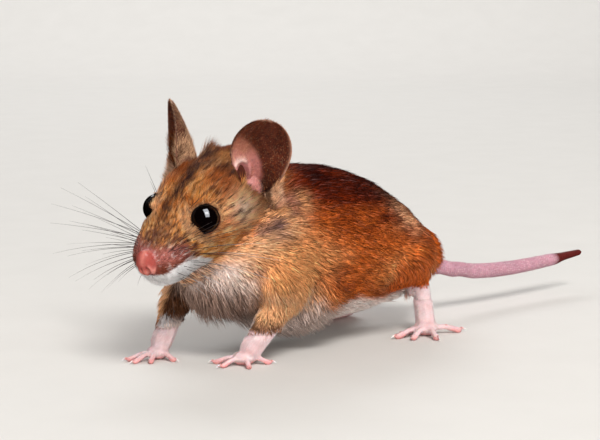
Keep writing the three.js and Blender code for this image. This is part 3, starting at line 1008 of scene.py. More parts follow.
def face_colour(points):
    x, y, z = to_head(points).T
    wave, patch = mottling(points, 2.0, 7), mottling(points, 3.0, 14)
    dark, pale = streaks(points, 0.26, 8), streaks(points, 0.3, 9)
    brow = blot(x, 5, 3.5) * soft_step(5, 6.5, z) * soft_step(1, 3, abs(y))
    top = mix(0.65, 0.35, soft_step(3.5, 5, z)) * (1 - 0.8 * brow)
    behind_ear = blot(x, -1.2, 2.8) * blot(z, 1.8, 3) * soft_step(6, 7.5, abs(y))
    wide = mix(1.6, 1.0, soft_step(3, 14, x)) + 0.3 * wave
    streak = blot(y, np.interp(x, *STREAK_LINE.T) + 0.2 * patch, wide)
    streak = streak * soft_step(1.5, 3, z) * soft_step(-6, -2, x) * mix(0.95, 0.6, soft_step(12, 14.5, x))
    ticks = soft_step(0.2, 0.5, dark) * mix(0.25, 0.8, soft_step(-1, 4, z + 1.5 * patch))
    over = soft_step(14.5, 18.5, x) * soft_step(1.8, 3.2, z + 0.2 * wave)
    spots = soft_step(15.2, 17.0, x) * soft_step(2.8, 1.8, z) * soft_step(-0.2, 0.3, above_lip(points))
    flank = soft_step(18.6, 20, x + 0.35 * abs(y) + 0.3 * wave) * soft_step(3.3, 2.2, z + 0.2 * wave)
    low = layered(
        MUZZLE_PINK,
        (MUZZLE_LOW, soft_step(1.2, 0.0, z)),
        (LIP_WHITE * 0.8, 0.5 * soft_step(0.2, 0.6, pale)),
        (STREAK, 0.55 * soft_step(0.25, 0.6, dark)),
    )
    rings = []
    for word in SIDES:
        distance, _, angle = eye_rays(points, word)
        ring = soft_step(LID_ANGLE + 0.5, LID_ANGLE + 0.25, angle + 0.06 * wave) * (distance < 4.4)
        rings.append((EYE_RING, 0.6 * ring))
    return layered(
        FACE_GOLD,
        (FACE_ORANGE, 0.6 * soft_step(-0.4, 0.6, wave) * soft_step(17, 12, x)),
        (FACE_ORANGE, 0.7 * blot(x, 6, 3.4) * soft_step(3.8, 6, z) * soft_step(0.5, 3, abs(y))),
        (CROWN_BROWN, 0.6 * soft_step(5.2, 6.6, z + 0.4 * wave) * soft_step(8, 1, x)),
        (FACE_ORANGE, 0.8 * blot(x, 8, 3.4) * blot(z, -3.6, 2.1)),
        (TEMPLE_GREY, 0.95 * blot(x, 6.4, 2.8) * blot(z, 2.4, 2.4)),
        (NECK_CREAM, 0.5 * blot(x, 2.6, 1.6) * soft_step(3, 0, z)),
        (NECK_CREAM, 0.8 * blot(x, -1, 2) * blot(y, -4.5, 1.6) * soft_step(4, 6, z)),
        (FACE_ORANGE * 0.75, 0.5 * blot(x, 13.5, 3) * soft_step(3.8, 5, z) * (1 - 0.4 * pale)),
        (RUMP * 0.7, 0.5 * brow),
        (FACE_PALE, top * soft_step(-0.1, 0.5, pale) * soft_step(-2, 3, x)),
        (TEMPLE_GREY * mix(0.4, 0.9, soft_step(-0.3, 0.3, wave))[:, None], 0.9 * behind_ear),
        (STREAK, streak * soft_step(-1.0, -0.1, dark + 0.3 * patch)),
        (STREAK, ticks * soft_step(-2, 2, x)),
        (BACK_BROWN, 0.85 * soft_step(-1.5, -4.5, x + 0.5 * wave) * soft_step(0, 3.5, z)),
        *rings,
        (MUZZLE_BROWN, 0.7 * over * soft_step(-0.6, 0.2, dark + 0.5 * blot(y, 0, 2))),
        (MUZZLE_LOW * 0.6, 0.8 * spots * soft_step(-0.5, 0.3, dark) * soft_step(20, 18.5, x)),
        (low, 0.9 * np.maximum(flank, soft_step(20.6, 21.4, x))),
        (LIP_WHITE, soft_step(0.3, -0.35, above_lip(points) + 0.3 * wave + 0.25 * dark)),
    )


def coat_colour(points, shares):
    low = shares["legs"] * soft_step(8.5, 4.5, points[:, 2] - hem_height(shares))
    return layered(
        body_colour(points),
        (neck_colour(points), shares["neck"]),
        (face_colour(points), shares["head"]),
        (leg_colour(points, shares), low),
    )


# %% [markdown]
# ## The lie of the coat
# Hair grows in directions that flow over the body like water: away from the nose over the face,
# round the eyes, back and down over the flanks, and down the legs. Each point of the skin gets a
# direction by its place, and averaging over the net's edges makes the directions flow into one
# another. The length and lift of the hair are set in the same way.

# %% Measure the skin
skin_points = points_of(skin.data)
skin_head = to_head(skin_points)
skin_edges = edges_of(skin.data)
skin_normals = even_normals(skin.data, skin_edges, 3)
zones = Zones(skin_points, skin_edges)
EARS = ["ear_" + word for word in SIDES]
shares = {
    "head": zones.of(["head", "nose", *EARS], 22),
    "neck": zones.of(["neck"], 22),
    "feet": zones.of(FEET, 4),
    "ears": zones.of(EARS, 3),
    "tail": zones.of(TAIL, 3),
}
ear_front, ear_up, ear_ahead = own_ear(skin_points)


def bare_like_ears(on_ears):
    """The ears' share of the skin, with the cup that runs down into the head and without furred lobes."""
    past_cup = ear_ahead - EAR_FORWARD * np.clip(1 - ear_up, 0, 2) ** 1.5
    in_cup = soft_step(1.0, 0.85, np.maximum(-ear_front, 0.72 * ear_front))
    in_cup *= soft_step(-0.24, -0.14, ear_up) * soft_step(0.4, 0.3, ear_up)
    in_cup *= soft_step(0.4, -0.2, past_cup + mix(0.8, -0.7, soft_step(0.35, 0.6, ear_front)))
    in_cup *= soft_step(-0.7, -0.1, past_cup + (1.1 + EAR_CUP) * np.clip(1 - ear_front**2, 0, 1))
    lobe_end = -0.17 + 0.74 * np.maximum(-ear_front - 0.54, 0) + 0.25 * np.maximum(ear_front, 0)
    bare = np.maximum(on_ears, in_cup) * (1 - soft_step(0.03, -0.05, ear_up - lobe_end))
    cup_mouth = bump_at(skin_head, [2.7, 6.7, 5.2], [1.5, 1.1, 1.7], 1)
    return np.maximum(bare, soft_step(0.35, 0.6, cup_mouth))


shares["ears"] = bare_like_ears(shares["ears"])
for leg in HEMS:
    shares[leg] = zones.of([leg, leg.replace("leg", "foot")], 16)
shares["legs"] = np.clip(sum(shares[leg] for leg in HEMS), 0, 1)
inwards = -np.sign(skin_points[:, 1] - body_middle(skin_points)[0]) * skin_normals[:, 1]
shares["behind"] = smear(np.maximum(skin_normals[:, 0], inwards), skin_edges, 6)
shares["within"] = smear(inwards, skin_edges, 6)
above_hem = skin_points[:, 2] - hem_height(shares)
bare_leg = shares["legs"] * soft_step(0.4, -0.2, above_hem)
print("shares of the skin:", {k: round(float(v.mean()), 3) for k, v in shares.items()})


# %% Directions, lengths and lifts over the skin
HAIRS_FROM = [24.5, 0, -0.5]  # just ahead of the nose, where the face's hairs fan out from
DOWN_LEG, HANGING = [0.15, 0.0, -1.0], [0.6, 0.0, -0.8]
LIE_ROUNDS = 12
# Lengths in mm, and what a place adds to them
BACK_LONG, NECK_LONG = 3.3, 3.0
SNOUT_LONG, NAPE_LONG = 0.7, 2.5
HEM_LONG, THIGH_LONG = 0.75, 2.4
LID_LONG = 0.6
CHEST_MORE, TUFT_MORE, THROAT_TIMES = 2.2, 3.6, 0.4
# Angles off the skin in radians, and what a place adds to them
LIFT, NECK_LIFT, LEG_LIFT, CHEST_LIFT, TUFT_LIFT = 0.24, 0.04, -0.1, 0.5, 0.85

chest = soft_step(19, 14, skin_points[:, 2]) * soft_step(TRUNK_X - 5, TRUNK_X - 10, skin_points[:, 0])
chest = chest * soft_step(0.1, 0.5, shares["neck"] + 0.5 * shares["legs"] + (skin_normals[:, 2] < -0.3))
between_legs = chest * soft_step(0.1, -0.6, skin_normals[:, 2]) * soft_step(0.8, 0.3, shares["legs"])
between_legs = between_legs * (1 - shares["head"]) ** 2
crown_tuft = bump_at(skin_head, [-1.0, -4.3, 6.8], [1.6, 1.5, 1.6], 1)


def even(value):
    return np.full(len(skin_points), value)


def all_along(direction):
    return np.tile(direction, (len(skin_points), 1))


def lie_of_coat():
    """The way that hair lies: out from the nose, round eyes and ears, back and down, and down the legs."""
    over_face = unit(skin_points - from_head(HAIRS_FROM))
    side = np.sign(skin_points[:, 1] - 1)
    slant = np.clip(1 - abs(body_height(skin_points)), 0, 1)
    lie = layered(
        unit(np.stack([even(1.0), 0.1 * side, -0.42 * slant], 1)),
        (over_face, soft_step(0.2, 0.8, shares["head"] + 0.5 * shares["neck"])),
        (unit(all_along(HANGING)), chest * (1 - shares["head"])),
        (unit(all_along(DOWN_LEG)), shares["legs"] * soft_step(8, 3, above_hem)),
    )
    for word in SIDES:
        distance, direction, _ = eye_rays(skin_points, word)
        lie = lie + across(direction, skin_normals) * soft_step(4.6, 2.6, distance)[:, None]
        ear_foot = skin_head - EAR_AT * [1, SIDES[word], 1]
        past_ear = across(from_head(ear_foot) - HEAD_ORIGIN, skin_normals)
        lie = lie + past_ear * (0.5 * soft_step(6, 3, np.linalg.norm(ear_foot, axis=1)))[:, None]
    lie = smear(across(lie, skin_normals), skin_edges, LIE_ROUNDS)
    return across(lie, skin_normals)


def coat_lengths():
    long = layered(
        BACK_LONG,
        (NECK_LONG, shares["neck"]),
        (mix(SNOUT_LONG, NAPE_LONG, soft_step(20.5, 6, skin_head[:, 0])), shares["head"]),
        (mix(HEM_LONG, THIGH_LONG, soft_step(0, 6, above_hem)), shares["legs"] * soft_step(8, 3, above_hem)),
    )
    throat = np.maximum(shares["neck"], shares["head"]) * soft_step(-0.1, -0.7, body_height(skin_points))
    long = long * (1 + THROAT_TIMES * throat) + CHEST_MORE * between_legs + TUFT_MORE * crown_tuft
    for word in SIDES:
        distance, _, _ = eye_rays(skin_points, word)
        long = mix(long, LID_LONG, soft_step(3.6, 2.6, distance))
    round_ear = mix(0.7, 1.0, soft_step(0.6, 1.0, ear_front)) + 1.0 * soft_step(-0.4, -0.9, ear_front)
    near_ear = soft_step(0.02, 0.35, zones.of(EARS, 25)) * soft_step(-4, -1, skin_head[:, 0])
    long = mix(long, round_ear, near_ear * (1 - crown_tuft))
    return smear(long, skin_edges, 5)


def hair_density():
    """Full over the body, thin on the muzzle, and nothing on the nose, lids and bare skin."""
    ledge = shares["legs"] * soft_step(3, 2, above_hem) * soft_step(0.35, 0.6, skin_normals[:, 2])
    upper = soft_step(18.4, 20.2, skin_head[:, 0]) * soft_step(-0.2, 0.4, above_lip(skin_points))
    full = soft_step(0.3, 0.02, shares["ears"]) * soft_step(0.6, 0.3, shares["tail"])
    full = full * (1 - bare_leg) * soft_step(0.75, 0.5, shares["feet"]) * (1 - ledge)
    full = full * mix(1.0, 0.45, upper) * soft_step(1.05, 1.25, off_nose(skin_points))
    full = full * soft_step(0.3, 0.1, nose_marks(skin_head)[2])
    for word in SIDES:
        distance, _, angle = eye_rays(skin_points, word)
        full[(distance < LID_REACH) & (angle < LID_ANGLE + 0.12)] = 0
    return full


flow = lie_of_coat()
length = coat_lengths()
density = hair_density()
lift_angle = LIFT + NECK_LIFT * shares["neck"] + LEG_LIFT * shares["legs"] * soft_step(5, 1, above_hem)
lift_angle = smear(lift_angle + CHEST_LIFT * between_legs + TUFT_LIFT * crown_tuft, skin_edges, 3)
print("hair from", length.min().round(2), "to", length.max().round(2), "mm long")

# %% [markdown]
# ## Hair
# Each hair here stands for a small lock of real ones. On the body it is a closed three-sided spike,
# bent once, that rises from the skin and then lies over its neighbours. On the face, ears, feet and
# tail, where hair is short and fine, a straight spike is enough. All hairs of a piece are made at
# once from arrays of roots. Particle hair would be quicker to comb, but it isn't mesh, and this
# model has to hold its coat in any program.

# %% Hair from arrays
TUFT_PATCH = 0.003
BENT_FACES = [
    np.array([[0, 3, 4, 1], [1, 4, 5, 2], [2, 5, 3, 0]]),
    np.array([[3, 6, 4], [4, 6, 5], [5, 6, 3], [0, 1, 2]]),
]
BENT_MAP = np.array([[-0.5, -0.5], [0, -0.5], [0.5, -0.5], [-0.4, 0.1], [0, 0.1], [0.4, 0.1], [0, 0.5]])
STRAIGHT_FACES = [np.array([[0, 3, 1], [1, 3, 2], [2, 3, 0], [0, 1, 2]])]
STRAIGHT_MAP = np.array([[-0.5, -0.5], [0, -0.5], [0.5, -0.5], [0, 0.5]])
ROOT_DEPTH = 0.12


def scattered(triangles, weights, count, chance):
    """Picks that many places on triangles, by area times weight: corners and their shares."""
    corners = skin_points[triangles]
    area = np.linalg.norm(np.cross(corners[:, 1] - corners[:, 0], corners[:, 2] - corners[:, 0]), axis=1)
    total = np.cumsum(area * weights[triangles].mean(1))
    picks = (np.arange(count) + chance.random(count)) / count * total[-1]
    chosen = np.minimum(np.searchsorted(total, picks), len(triangles) - 1)
    a, b = chance.random(count), chance.random(count)
    flip = a + b > 1
    a, b = np.where(flip, 1 - a, a), np.where(flip, 1 - b, b)
    return triangles[chosen], np.stack([1 - a - b, a, b], 1)


def at_roots(values, corners, weights):
    picked = np.asarray(values)[corners]
    return (picked * weights.reshape(*weights.shape, *[1] * (picked.ndim - 2))).sum(1)


def ring_round(centre, direction, side, width):
    top = np.cross(direction, side)
    half = side * (width / 2)[:, None]
    return [centre - half, centre + top * (width * 0.4)[:, None], centre + half]


def hair_points(roots, normals, lies, lengths, widths, lifts, bent):
    """The points of each hair: a ring at the root, one at the bend if it has one, and the tip."""
    side = np.cross(normals, lies)
    angles = (lifts * 1.5, lifts * 0.3) if bent else (lifts, lifts)
    first, then = [lies * np.cos(a)[:, None] + normals * np.sin(a)[:, None] for a in angles]
    middle = roots + first * (0.5 * lengths)[:, None]
    tip = middle + then * (0.5 * lengths)[:, None]
    rings = ring_round(roots - normals * ROOT_DEPTH, first, side, widths)
    if bent:
        rings += ring_round(middle, then, side, widths * 0.8)
    return np.stack([*rings, tip], 1)


def hair_mesh(name, places, tones, spots, bent):
    """Turns hairs into one mesh, with root, middle and tip tones, and a patch each on OFBake."""
    count, size = places.shape[:2]
    layout, patch = (BENT_FACES, BENT_MAP) if bent else (STRAIGHT_FACES, STRAIGHT_MAP)
    start = (np.arange(count) * size)[:, None, None]
    faces = [(f + start).reshape(-1, f.shape[1]) for f in layout]
    mesh = mesh_of(name, places.reshape(-1, 3) * MM, faces)
    along = [tones[0]] * 3 + ([tones[1]] * 3 if bent else []) + [tones[2]]
    paint(mesh, np.stack(along, 1).reshape(-1, 3))
    corner_points = np.concatenate([f.ravel() for f in faces])
    lay_map(mesh, (spots[:, None] + patch * TUFT_PATCH).reshape(-1, 2)[corner_points])
    return object_of(name, mesh)


# %% Rolling the skin out flat, for the map of the hairs
def spread(flat):
    """Fits places on a rolled-out skin into the square from 0 to 1, with a margin."""
    low, high = flat.min(0), flat.max(0)
    return 0.02 + 0.96 * (flat - low) / np.maximum(high - low, 1e-6)


def round_body(roots):
    middle_y, middle_z, _ = body_middle(roots)
    return np.stack([roots[:, 0], np.arctan2(roots[:, 1] - middle_y, roots[:, 2] - middle_z)], 1)


def round_head(roots):
    x, y, z = to_head(roots).T
    return np.stack([x, np.arctan2(y, z)], 1)


def round_legs(roots):
    """Each leg is rolled out in a strip of its own, round an upright line through its middle."""
    flat = np.zeros((len(roots), 2))
    nearest = np.full(len(roots), np.inf)
    for number, leg in enumerate(HEMS):
        away = roots - middle_of(leg)
        distance = np.linalg.norm(away, axis=1)
        turn_round = np.arctan2(away[:, 1], away[:, 0]) / math.pi
        closer = (distance < nearest)[:, None]
        flat = np.where(closer, np.stack([roots[:, 2], turn_round + 2.2 * number], 1), flat)
        nearest = np.minimum(nearest, distance)
    return flat


# %% Growing one piece of hair
LEAST_SHARE = 0.7  # of a hair's length, width or lift, and what chance adds to that share at most
HAIR_SPREAD = {"length": 0.5, "width": 0.6, "lift": 0.7}


def grow(name, seed, wanted, count, look, unroll, bent=True):
    """Grows hairs where wanted, from 0 to 1 at each skin point. look gives width, length and tones."""
    chance = np.random.default_rng(seed)
    chosen = skin_triangles[wanted[skin_triangles].max(1) > 0.01]
    corners, weights = scattered(chosen, wanted, count, chance)
    roots = at_roots(skin_points, corners, weights)
    normals = unit(at_roots(skin_normals, corners, weights))
    lies = across(at_roots(flow, corners, weights), normals)
    swing = look["swing"] * (0.5 * chance.standard_normal(count) + mottling(roots, 1.1, 11))
    lies = unit(lies * np.cos(swing)[:, None] + np.cross(normals, lies) * np.sin(swing)[:, None])
    lengths, widths, lifts = (
        at_roots(look[key], corners, weights) * (LEAST_SHARE + more * chance.random(count))
        for key, more in HAIR_SPREAD.items()
    )
    held = {k: at_roots(v, corners, weights) for k, v in shares.items()}
    places = hair_points(roots, normals, lies, lengths, widths, lifts, bent)
    tones = look["tones"](roots + lies * (0.5 * lengths)[:, None], held, chance)
    HAIR_PIECES.append(hair_mesh(name, places, tones, spread(unroll(roots)), bent))
    print(name, count, "hairs")


def coat_tones(points, held, chance):
    """Slate at the root, the marking's colour along the hair, and now and then a dark or pale tip."""
    count = len(points)
    base = coat_colour(points, held)
    light = soft_step(0.3, 0.6, base.mean(1))
    shade = 0.2 * chance.standard_normal(count) + 0.16 * mottling(points, 0.6, 12)
    base = base * np.clip(1 + shade * (1 - 0.6 * light), 0.4, 1.7)[:, None]
    pick = chance.random(count)
    brown = soft_step(0.55, 0.35, base.mean(1))
    ticked = (pick < 0.13 * brown)[:, None]
    pale = (pick > 0.88)[:, None]
    middle = np.where(ticked, base * 0.45, np.where(pale, base * 1.3 + 0.03, base))
    tip = np.where(ticked, base * 0.16, np.where(pale, base * 1.5 + 0.05, base * 1.1))
    root = mix(base, UNDERCOAT, 0.35 * (1 - light)) * mix(0.6, 0.9, light)[:, None]
    return [np.clip(t, 0, 0.94) for t in (root, middle, tip)]


# %% The coat, piece by piece
HAIR_PIECES = []
height = body_height(skin_points)
left_side = skin_points[:, 1] < body_middle(skin_points)[0]
head_left = skin_head[:, 1] > 0
on_head = shares["head"] > 0.5
on_legs = ~on_head & (shares["legs"] * soft_step(9, 4, above_hem) > 0.5)
on_neck = ~on_head & ~on_legs & (skin_points[:, 0] < TRUNK_X - 8)
on_trunk = ~on_head & ~on_neck & ~on_legs
BODY_WIDTH, FACE_WIDTH = 0.17, 0.13
body_look = {
    "width": even(BODY_WIDTH), "length": length, "lift": lift_angle,
    "swing": 0.32, "tones": coat_tones,
}
face_look = {**body_look, "width": even(FACE_WIDTH), "swing": 0.3}
middle_band = abs(height) <= 0.5
# Where each piece grows, its number of hairs, their look, the unrolling for its map, and if they bend
COAT = {
    "coat_neck_left": (on_neck & left_side, 18000, body_look, round_body, True),
    "coat_neck_right": (on_neck & ~left_side, 15000, body_look, round_body, True),
    "coat_back": (on_trunk & (height > 0.5), 17500, body_look, round_body, True),
    "coat_flank_left": (on_trunk & middle_band & left_side, 18000, body_look, round_body, True),
    "coat_flank_right": (on_trunk & middle_band & ~left_side, 14500, body_look, round_body, True),
    "coat_belly": (on_trunk & (height < -0.5), 10500, body_look, round_body, True),
    "coat_legs": (on_legs, 11500, body_look, round_legs, True),
    "coat_face_left": (on_head & head_left, 47000, face_look, round_head, False),
    "coat_face_right": (on_head & ~head_left, 40000, face_look, round_head, False),
}
for seed, (name, (where, count, look, unroll, bent)) in enumerate(COAT.items()):
    grow(name, 100 + seed, where * density, count, look, unroll, bent)


# %% [markdown]
# ## Colour of the skin
# Under the coat the skin is only seen between hairs, where a dark tone gives the coat depth. The
# bare parts carry the looks: the pink nose with its dark nostrils, grey lids, pale paws with pinker
# pads, brown ears with pink folds inside, and the raw tip of the tail.


# %% Colour of the ears
# Up the ear and along it from back to front, the border of the pink folds
PINK_EDGE = np.array([[-0.15, -0.4], [0.12, -0.42], [0.27, -0.3], [0.46, 0.03], [0.6, 0.35], [0.7, 0.7]])


def ear_colour(points, normals):
    """Brown, with pink folds low inside, a dark front edge and lobe, and a thin pale rim."""
    front, up, _ = own_ear(points)
    over = to_head(points)[:, 1]
    opens = np.where(over[:, None] > 0, ear_axes(1)[0], ear_axes(-1)[0]) @ HEAD_AXES
    inside = soft_step(-0.05, 0.25, (normals * opens).sum(1))
    wave, fine = mottling(points, 1.6, 21), mottling(points, 0.3, 22)
    lobe = soft_step(0.4, -0.05, up + 0.05 * wave) * soft_step(-0.2, -0.5, front + 0.1 * fine)
    edge = np.interp(up, *PINK_EDGE.T)
    pink = inside * soft_step(-0.1, 0.16, front - edge + 0.05 * wave) * soft_step(0.8, 0.55, up)
    ridge = blot(front, 0.05 + 0.9 * np.maximum(up, -0.1), 0.14) * soft_step(0.4, 0.25, up)
    hollow = blot(front, 0.62, 0.26) * blot(up, 0.17, 0.1)
    low = soft_step(0.3, 0.55, front + 0.12 * fine) * soft_step(0.04, -0.04, up + 0.04 * fine)
    far = inside * soft_step(0, -1, over) * soft_step(-0.2, 0.3, front)
    rim = np.maximum(soft_step(-0.92, -0.98, front), soft_step(0.965, 0.985, up))
    return layered(
        EAR_BROWN,
        (EAR_DARK, np.clip(0.35 + 0.25 * wave + 0.55 * fine, 0, 1)),
        (EAR_DARK * 0.2, 0.9 * inside * lobe),
        (mix(EAR_PINK, EAR_ORANGE, soft_step(0.3, 0.55, up + 0.06 * wave)), 0.95 * pink),
        (EAR_BRIGHT, 0.7 * inside * ridge),
        # In the pocket the hollow's mauve-pink is laid half as bright again: partly its own colour, partly
        # painted light against the shade that falls in the hollow
        (EAR_HOLLOW * 1.5, 0.75 * inside * hollow),
        (EAR_HOLLOW * 0.35, 0.6 * inside * low),
        (EAR_ARC, 0.9 * inside * arc_of_ear(front, up)),
        (EAR_DARK * 0.6, 0.85 * soft_step(0.9, 0.97, front) * soft_step(0.3, 0.42, up)),
        (EAR_ORANGE * 0.75, 0.75 * far * soft_step(-0.5, 0.5, fine + 1.2 - 1.6 * up)),
        (EAR_RIM, 0.8 * np.maximum(rim, far * soft_step(0.86, 0.97, up))),
    )


# %% Colour of the whole skin
def nose_colour(tones):
    x, y, z = skin_head.T
    wave = mottling(skin_points, 0.7, 31)
    bare = soft_step(18.6, 20, x + 0.35 * abs(y)) * soft_step(3.3, 2.2, z) + soft_step(20.6, 21.4, x)
    bare = np.clip(bare, 0, 1) * soft_step(-0.3, 0.3, above_lip(skin_points))
    slit, rim, groove = nose_marks(skin_head)
    nose = layered(
        NOSE_RED,
        (NOSE_PAD, 0.75 * soft_step(0.9, 0.1, z) * soft_step(-1.2, -0.6, z)),
        # A painted highlight: a pale stripe along the top of the nose, just left of its middle
        (NOSE_PAD, 0.5 * blot(y, 0.35, 0.4) * soft_step(0.8, 2, z)),
        # A painted highlight: the raised rim round each nostril, paler and bluer than the pad
        (NOSE_PAD * [1.1, 1.15, 1.2], 0.8 * rim),
        (NOSTRIL, 0.85 * slit),
    )
    # Painted shadow: dark under the nose's ball, in the nostrils' red
    under = soft_step(1.3, 1.1, off_nose(skin_points)) * soft_step(-0.7, -1.2, z)
    return layered(
        tones,
        (mix(MUZZLE_PINK, MUZZLE_LOW, soft_step(1.6, 0.2, z)), 0.9 * bare),
        (nose, soft_step(1.16, 1.06, off_nose(skin_points) + 0.03 * wave)),
        (NOSTRIL * 1.3, 0.8 * groove),
        (NOSTRIL * 0.5, 0.8 * under),
    )


def skin_colour():
    lip = soft_step(0.2, -0.4, above_lip(skin_points)) * soft_step(14, 17, skin_head[:, 0])
    tones = nose_colour(mix(coat_colour(skin_points, shares) * 0.4, LIP_WHITE * 0.7, 0.6 * lip))
    for word in SIDES:
        distance, _, angle = eye_rays(skin_points, word)
        lid = (distance < LID_REACH) * soft_step(LID_ANGLE + 0.2, LID_ANGLE + 0.13, angle)
        tones = mix(tones, LID_GREY * 0.02, lid)
    wave = mottling(skin_points, 1.2, 32)
    pad = 0.25 + 0.25 * wave + 0.8 * soft_step(1.2, 0.2, skin_points[:, 2])
    paw = mix(PAW_PINK, PAD_PINK, np.clip(pad, 0, 1))
    past_tail = skin_points[:, 0] - TAIL_RAW_X
    return layered(
        tones,
        (paw, np.maximum(bare_leg, soft_step(0.4, 0.7, shares["feet"]))),
        (TAIL_PINK * (1 + 0.12 * wave[:, None]), soft_step(0.3, 0.6, shares["tail"])),
        (RAW_RED, soft_step(-1.2, 0.6, past_tail + 0.5 * wave) * (shares["tail"] > 0.3)),
        (ear_colour(skin_points, skin_normals), soft_step(0.3, 0.6, shares["ears"])),
    )


skin_tones = skin_colour()
print("skin tones from", skin_tones.min(0).round(3), "to", skin_tones.max(0).round(3))

# %% [markdown]
# ## Fine hair on bare parts
# Even the bare parts of a mouse carry fine hair: a velvet on both sides of the ears, white down on
# wrists and toes, and a few stiff hairs between the tail's scales. They are short and thin, so they
# only soften the outline.


# %% Fine hair on ears, feet and tail
def down_tones(points, held, chance):
    """White down on the legs and feet."""
    shade = np.clip(0.94 + 0.08 * chance.standard_normal(len(points)), 0.4, 1)[:, None]
    tone = LIP_WHITE * shade
    return [tone * 0.95, tone, tone]


def ear_tones(points, held, chance):
    """Rusty and dark hairs on the ears, with pale ones among them, most of all low inside."""
    front, up, _ = own_ear(points)
    low = soft_step(0.2, 0.45, front) * soft_step(0.62, 0.4, up)
    low = np.maximum(low, soft_step(0, -1, to_head(points)[:, 1]) * soft_step(0, 0.4, front) * 0.8)
    pick = chance.random(len(points))[:, None] + 0.6 * low[:, None]
    tone = np.where(pick < 0.45, FLANK * 0.8, np.where(pick < 0.85, BACK_DARK, NECK_CREAM))
    return [tone * 0.6, tone, tone]


def tail_tones(points, held, chance):
    pick = chance.random(len(points))[:, None]
    tone = np.where(pick < 0.35, BACK_BROWN, LIP_WHITE * 0.9)
    return [tone, tone, tone]


def round_ears(roots):
    """The two ears side by side, each rolled out from front to back and from foot to tip."""
    front, up, _ = own_ear(roots)
    apart = np.where(to_head(roots)[:, 1] > 0, -1.1, 1.1)
    return np.stack([front + apart, up], 1)


on_ears = soft_step(0.5, 0.8, shares["ears"])
on_feet = np.maximum(bare_leg, soft_step(0.5, 0.8, shares["feet"])) * soft_step(0.5, 1.2, skin_points[:, 2])
on_tail = soft_step(0.6, 0.9, shares["tail"]) * (skin_points[:, 0] < TAIL_RAW_X)
down_long = mix(0.45, 0.75, bare_leg * soft_step(2.5, 4, skin_points[:, 2]))
down = {"width": even(0.06), "length": down_long, "lift": even(0.3), "swing": 0.3, "tones": down_tones}
far_fringe = soft_step(0.1, 0.4, abs(ear_front)) * soft_step(0.6, 0.35, ear_up) * ~head_left
velvet_long = 0.42 + 0.9 * far_fringe
velvet = {**down, "width": even(0.055), "length": velvet_long, "lift": even(0.45), "tones": ear_tones}
bristle = {**down, "width": even(0.05), "length": even(0.55), "lift": even(0.35), "tones": tail_tones}


def lie_on_bare_parts():
    """Up the ears, out along the toes and back along the tail."""
    up_ear = np.where(head_left[:, None], ear_axes(1)[2] @ HEAD_AXES, ear_axes(-1)[2] @ HEAD_AXES)
    back, along_foot = all_along([1.0, 0, 0]), all_along([-0.6, 0, -0.8])
    return across(layered(flow, (up_ear, on_ears), (back, on_tail), (along_foot, on_feet)), skin_normals)


flow = lie_on_bare_parts()
in_pocket = head_left * soft_step(0.3, 0.5, ear_front) * soft_step(0.35, 0.25, ear_up)
grow("velvet_ears", 121, on_ears * (1 + far_fringe) * (1 - in_pocket), 20000, velvet, round_ears, False)
grow("down_feet", 122, on_feet, 10000, down, round_legs, False)
grow("bristles_tail", 123, on_tail, 2000, bristle, round_body, False)

# %% [markdown]
# ## Whiskers
# Whiskers stand in rows on the pads beside the nose, short in front and long behind, and a few more
# over each eye, on each cheek and on the chin. Each is a line that leaves the skin at its root and
# droops under its own weight. Geometry nodes turn the lines into tapered tubes, because one rule
# then sets the thickness of them all.

# %% Lines for the whiskers
WHISKER_STEPS = 14
WHISKER_ROOT, WHISKER_TIP, WHISKER_SIDES = 0.05, 0.012, 5  # radii and sides of the tubes
WHISKER_ROWS, WHISKER_PLACES = 7, 4
WHISKER_ROOT_Y = 3
WHISKER_GAP, WHISKER_FAN, WHISKER_LESS = 0.85, 0.14, 0.22  # changes from one place in a row to the next
WHISKER_JITTER = [0.15, 0.12, 0.05, 0.05]  # of the root along and up, then of the heading
WHISKER_FLESH = 4  # a line with more flesh than this to cross is left out
# Along the head and up to each root, then ahead and up for each unit sideways, reach and droop
WHISKERS = {
    "left": [
        [18.2, 2.4, -0.45, 0.75, 8.5, 0.6],
        [17.2, 1.8, -0.8, 0.42, 15.5, 1.4],
        [17, 0.9, -0.9, 0.2, 18.5, 2],
        [17.2, 0, -0.8, 0.04, 18, 2.6],
        [18, -0.9, -0.6, -0.2, 14, 2.8],
    ],
    "right": [
        [17.6, 2.4, 0.05, 0.78, 16, 0.8],
        [17.2, 1.7, 0.12, 0.44, 19, 1.4],
        [17, 0.8, 0.14, 0.14, 20.5, 1.8],
        [17.4, 0, 0.22, -0.12, 20, 4],
        [18.4, -0.9, 0.32, -0.4, 13.5, 3.4],
    ],
}
WHISKER_DARK = STREAK * 0.3
# Places on the head and reach of the two hairs over each eye and the one on each cheek
FACE_HAIRS = ((13.4, 2.2, 5, 8.5), (14, 1.8, 4.6, 6.5), (9.6, 5.5, -1, 9))
CHIN_HAIRS = 22
skin_tree = BVHTree.FromPolygons([tuple(p) for p in skin_points], skin_triangles.tolist())


def whisker(start, heading, reach, droop):
    """A line that leaves the skin on its way out from a place inside the head."""
    start, heading = from_head(start), unit(np.array(heading) @ HEAD_AXES)
    leaves = skin_tree.ray_cast(start, heading)[3] or 0
    if leaves > WHISKER_FLESH:
        return None
    along = np.linspace(max(leaves - 0.3, 0), reach, WHISKER_STEPS)[:, None]
    line = start + heading * along - HEAD_AXES[2] * droop * (along / reach) ** 2
    line[:, 2] = np.maximum(line[:, 2], 0.5)
    return line


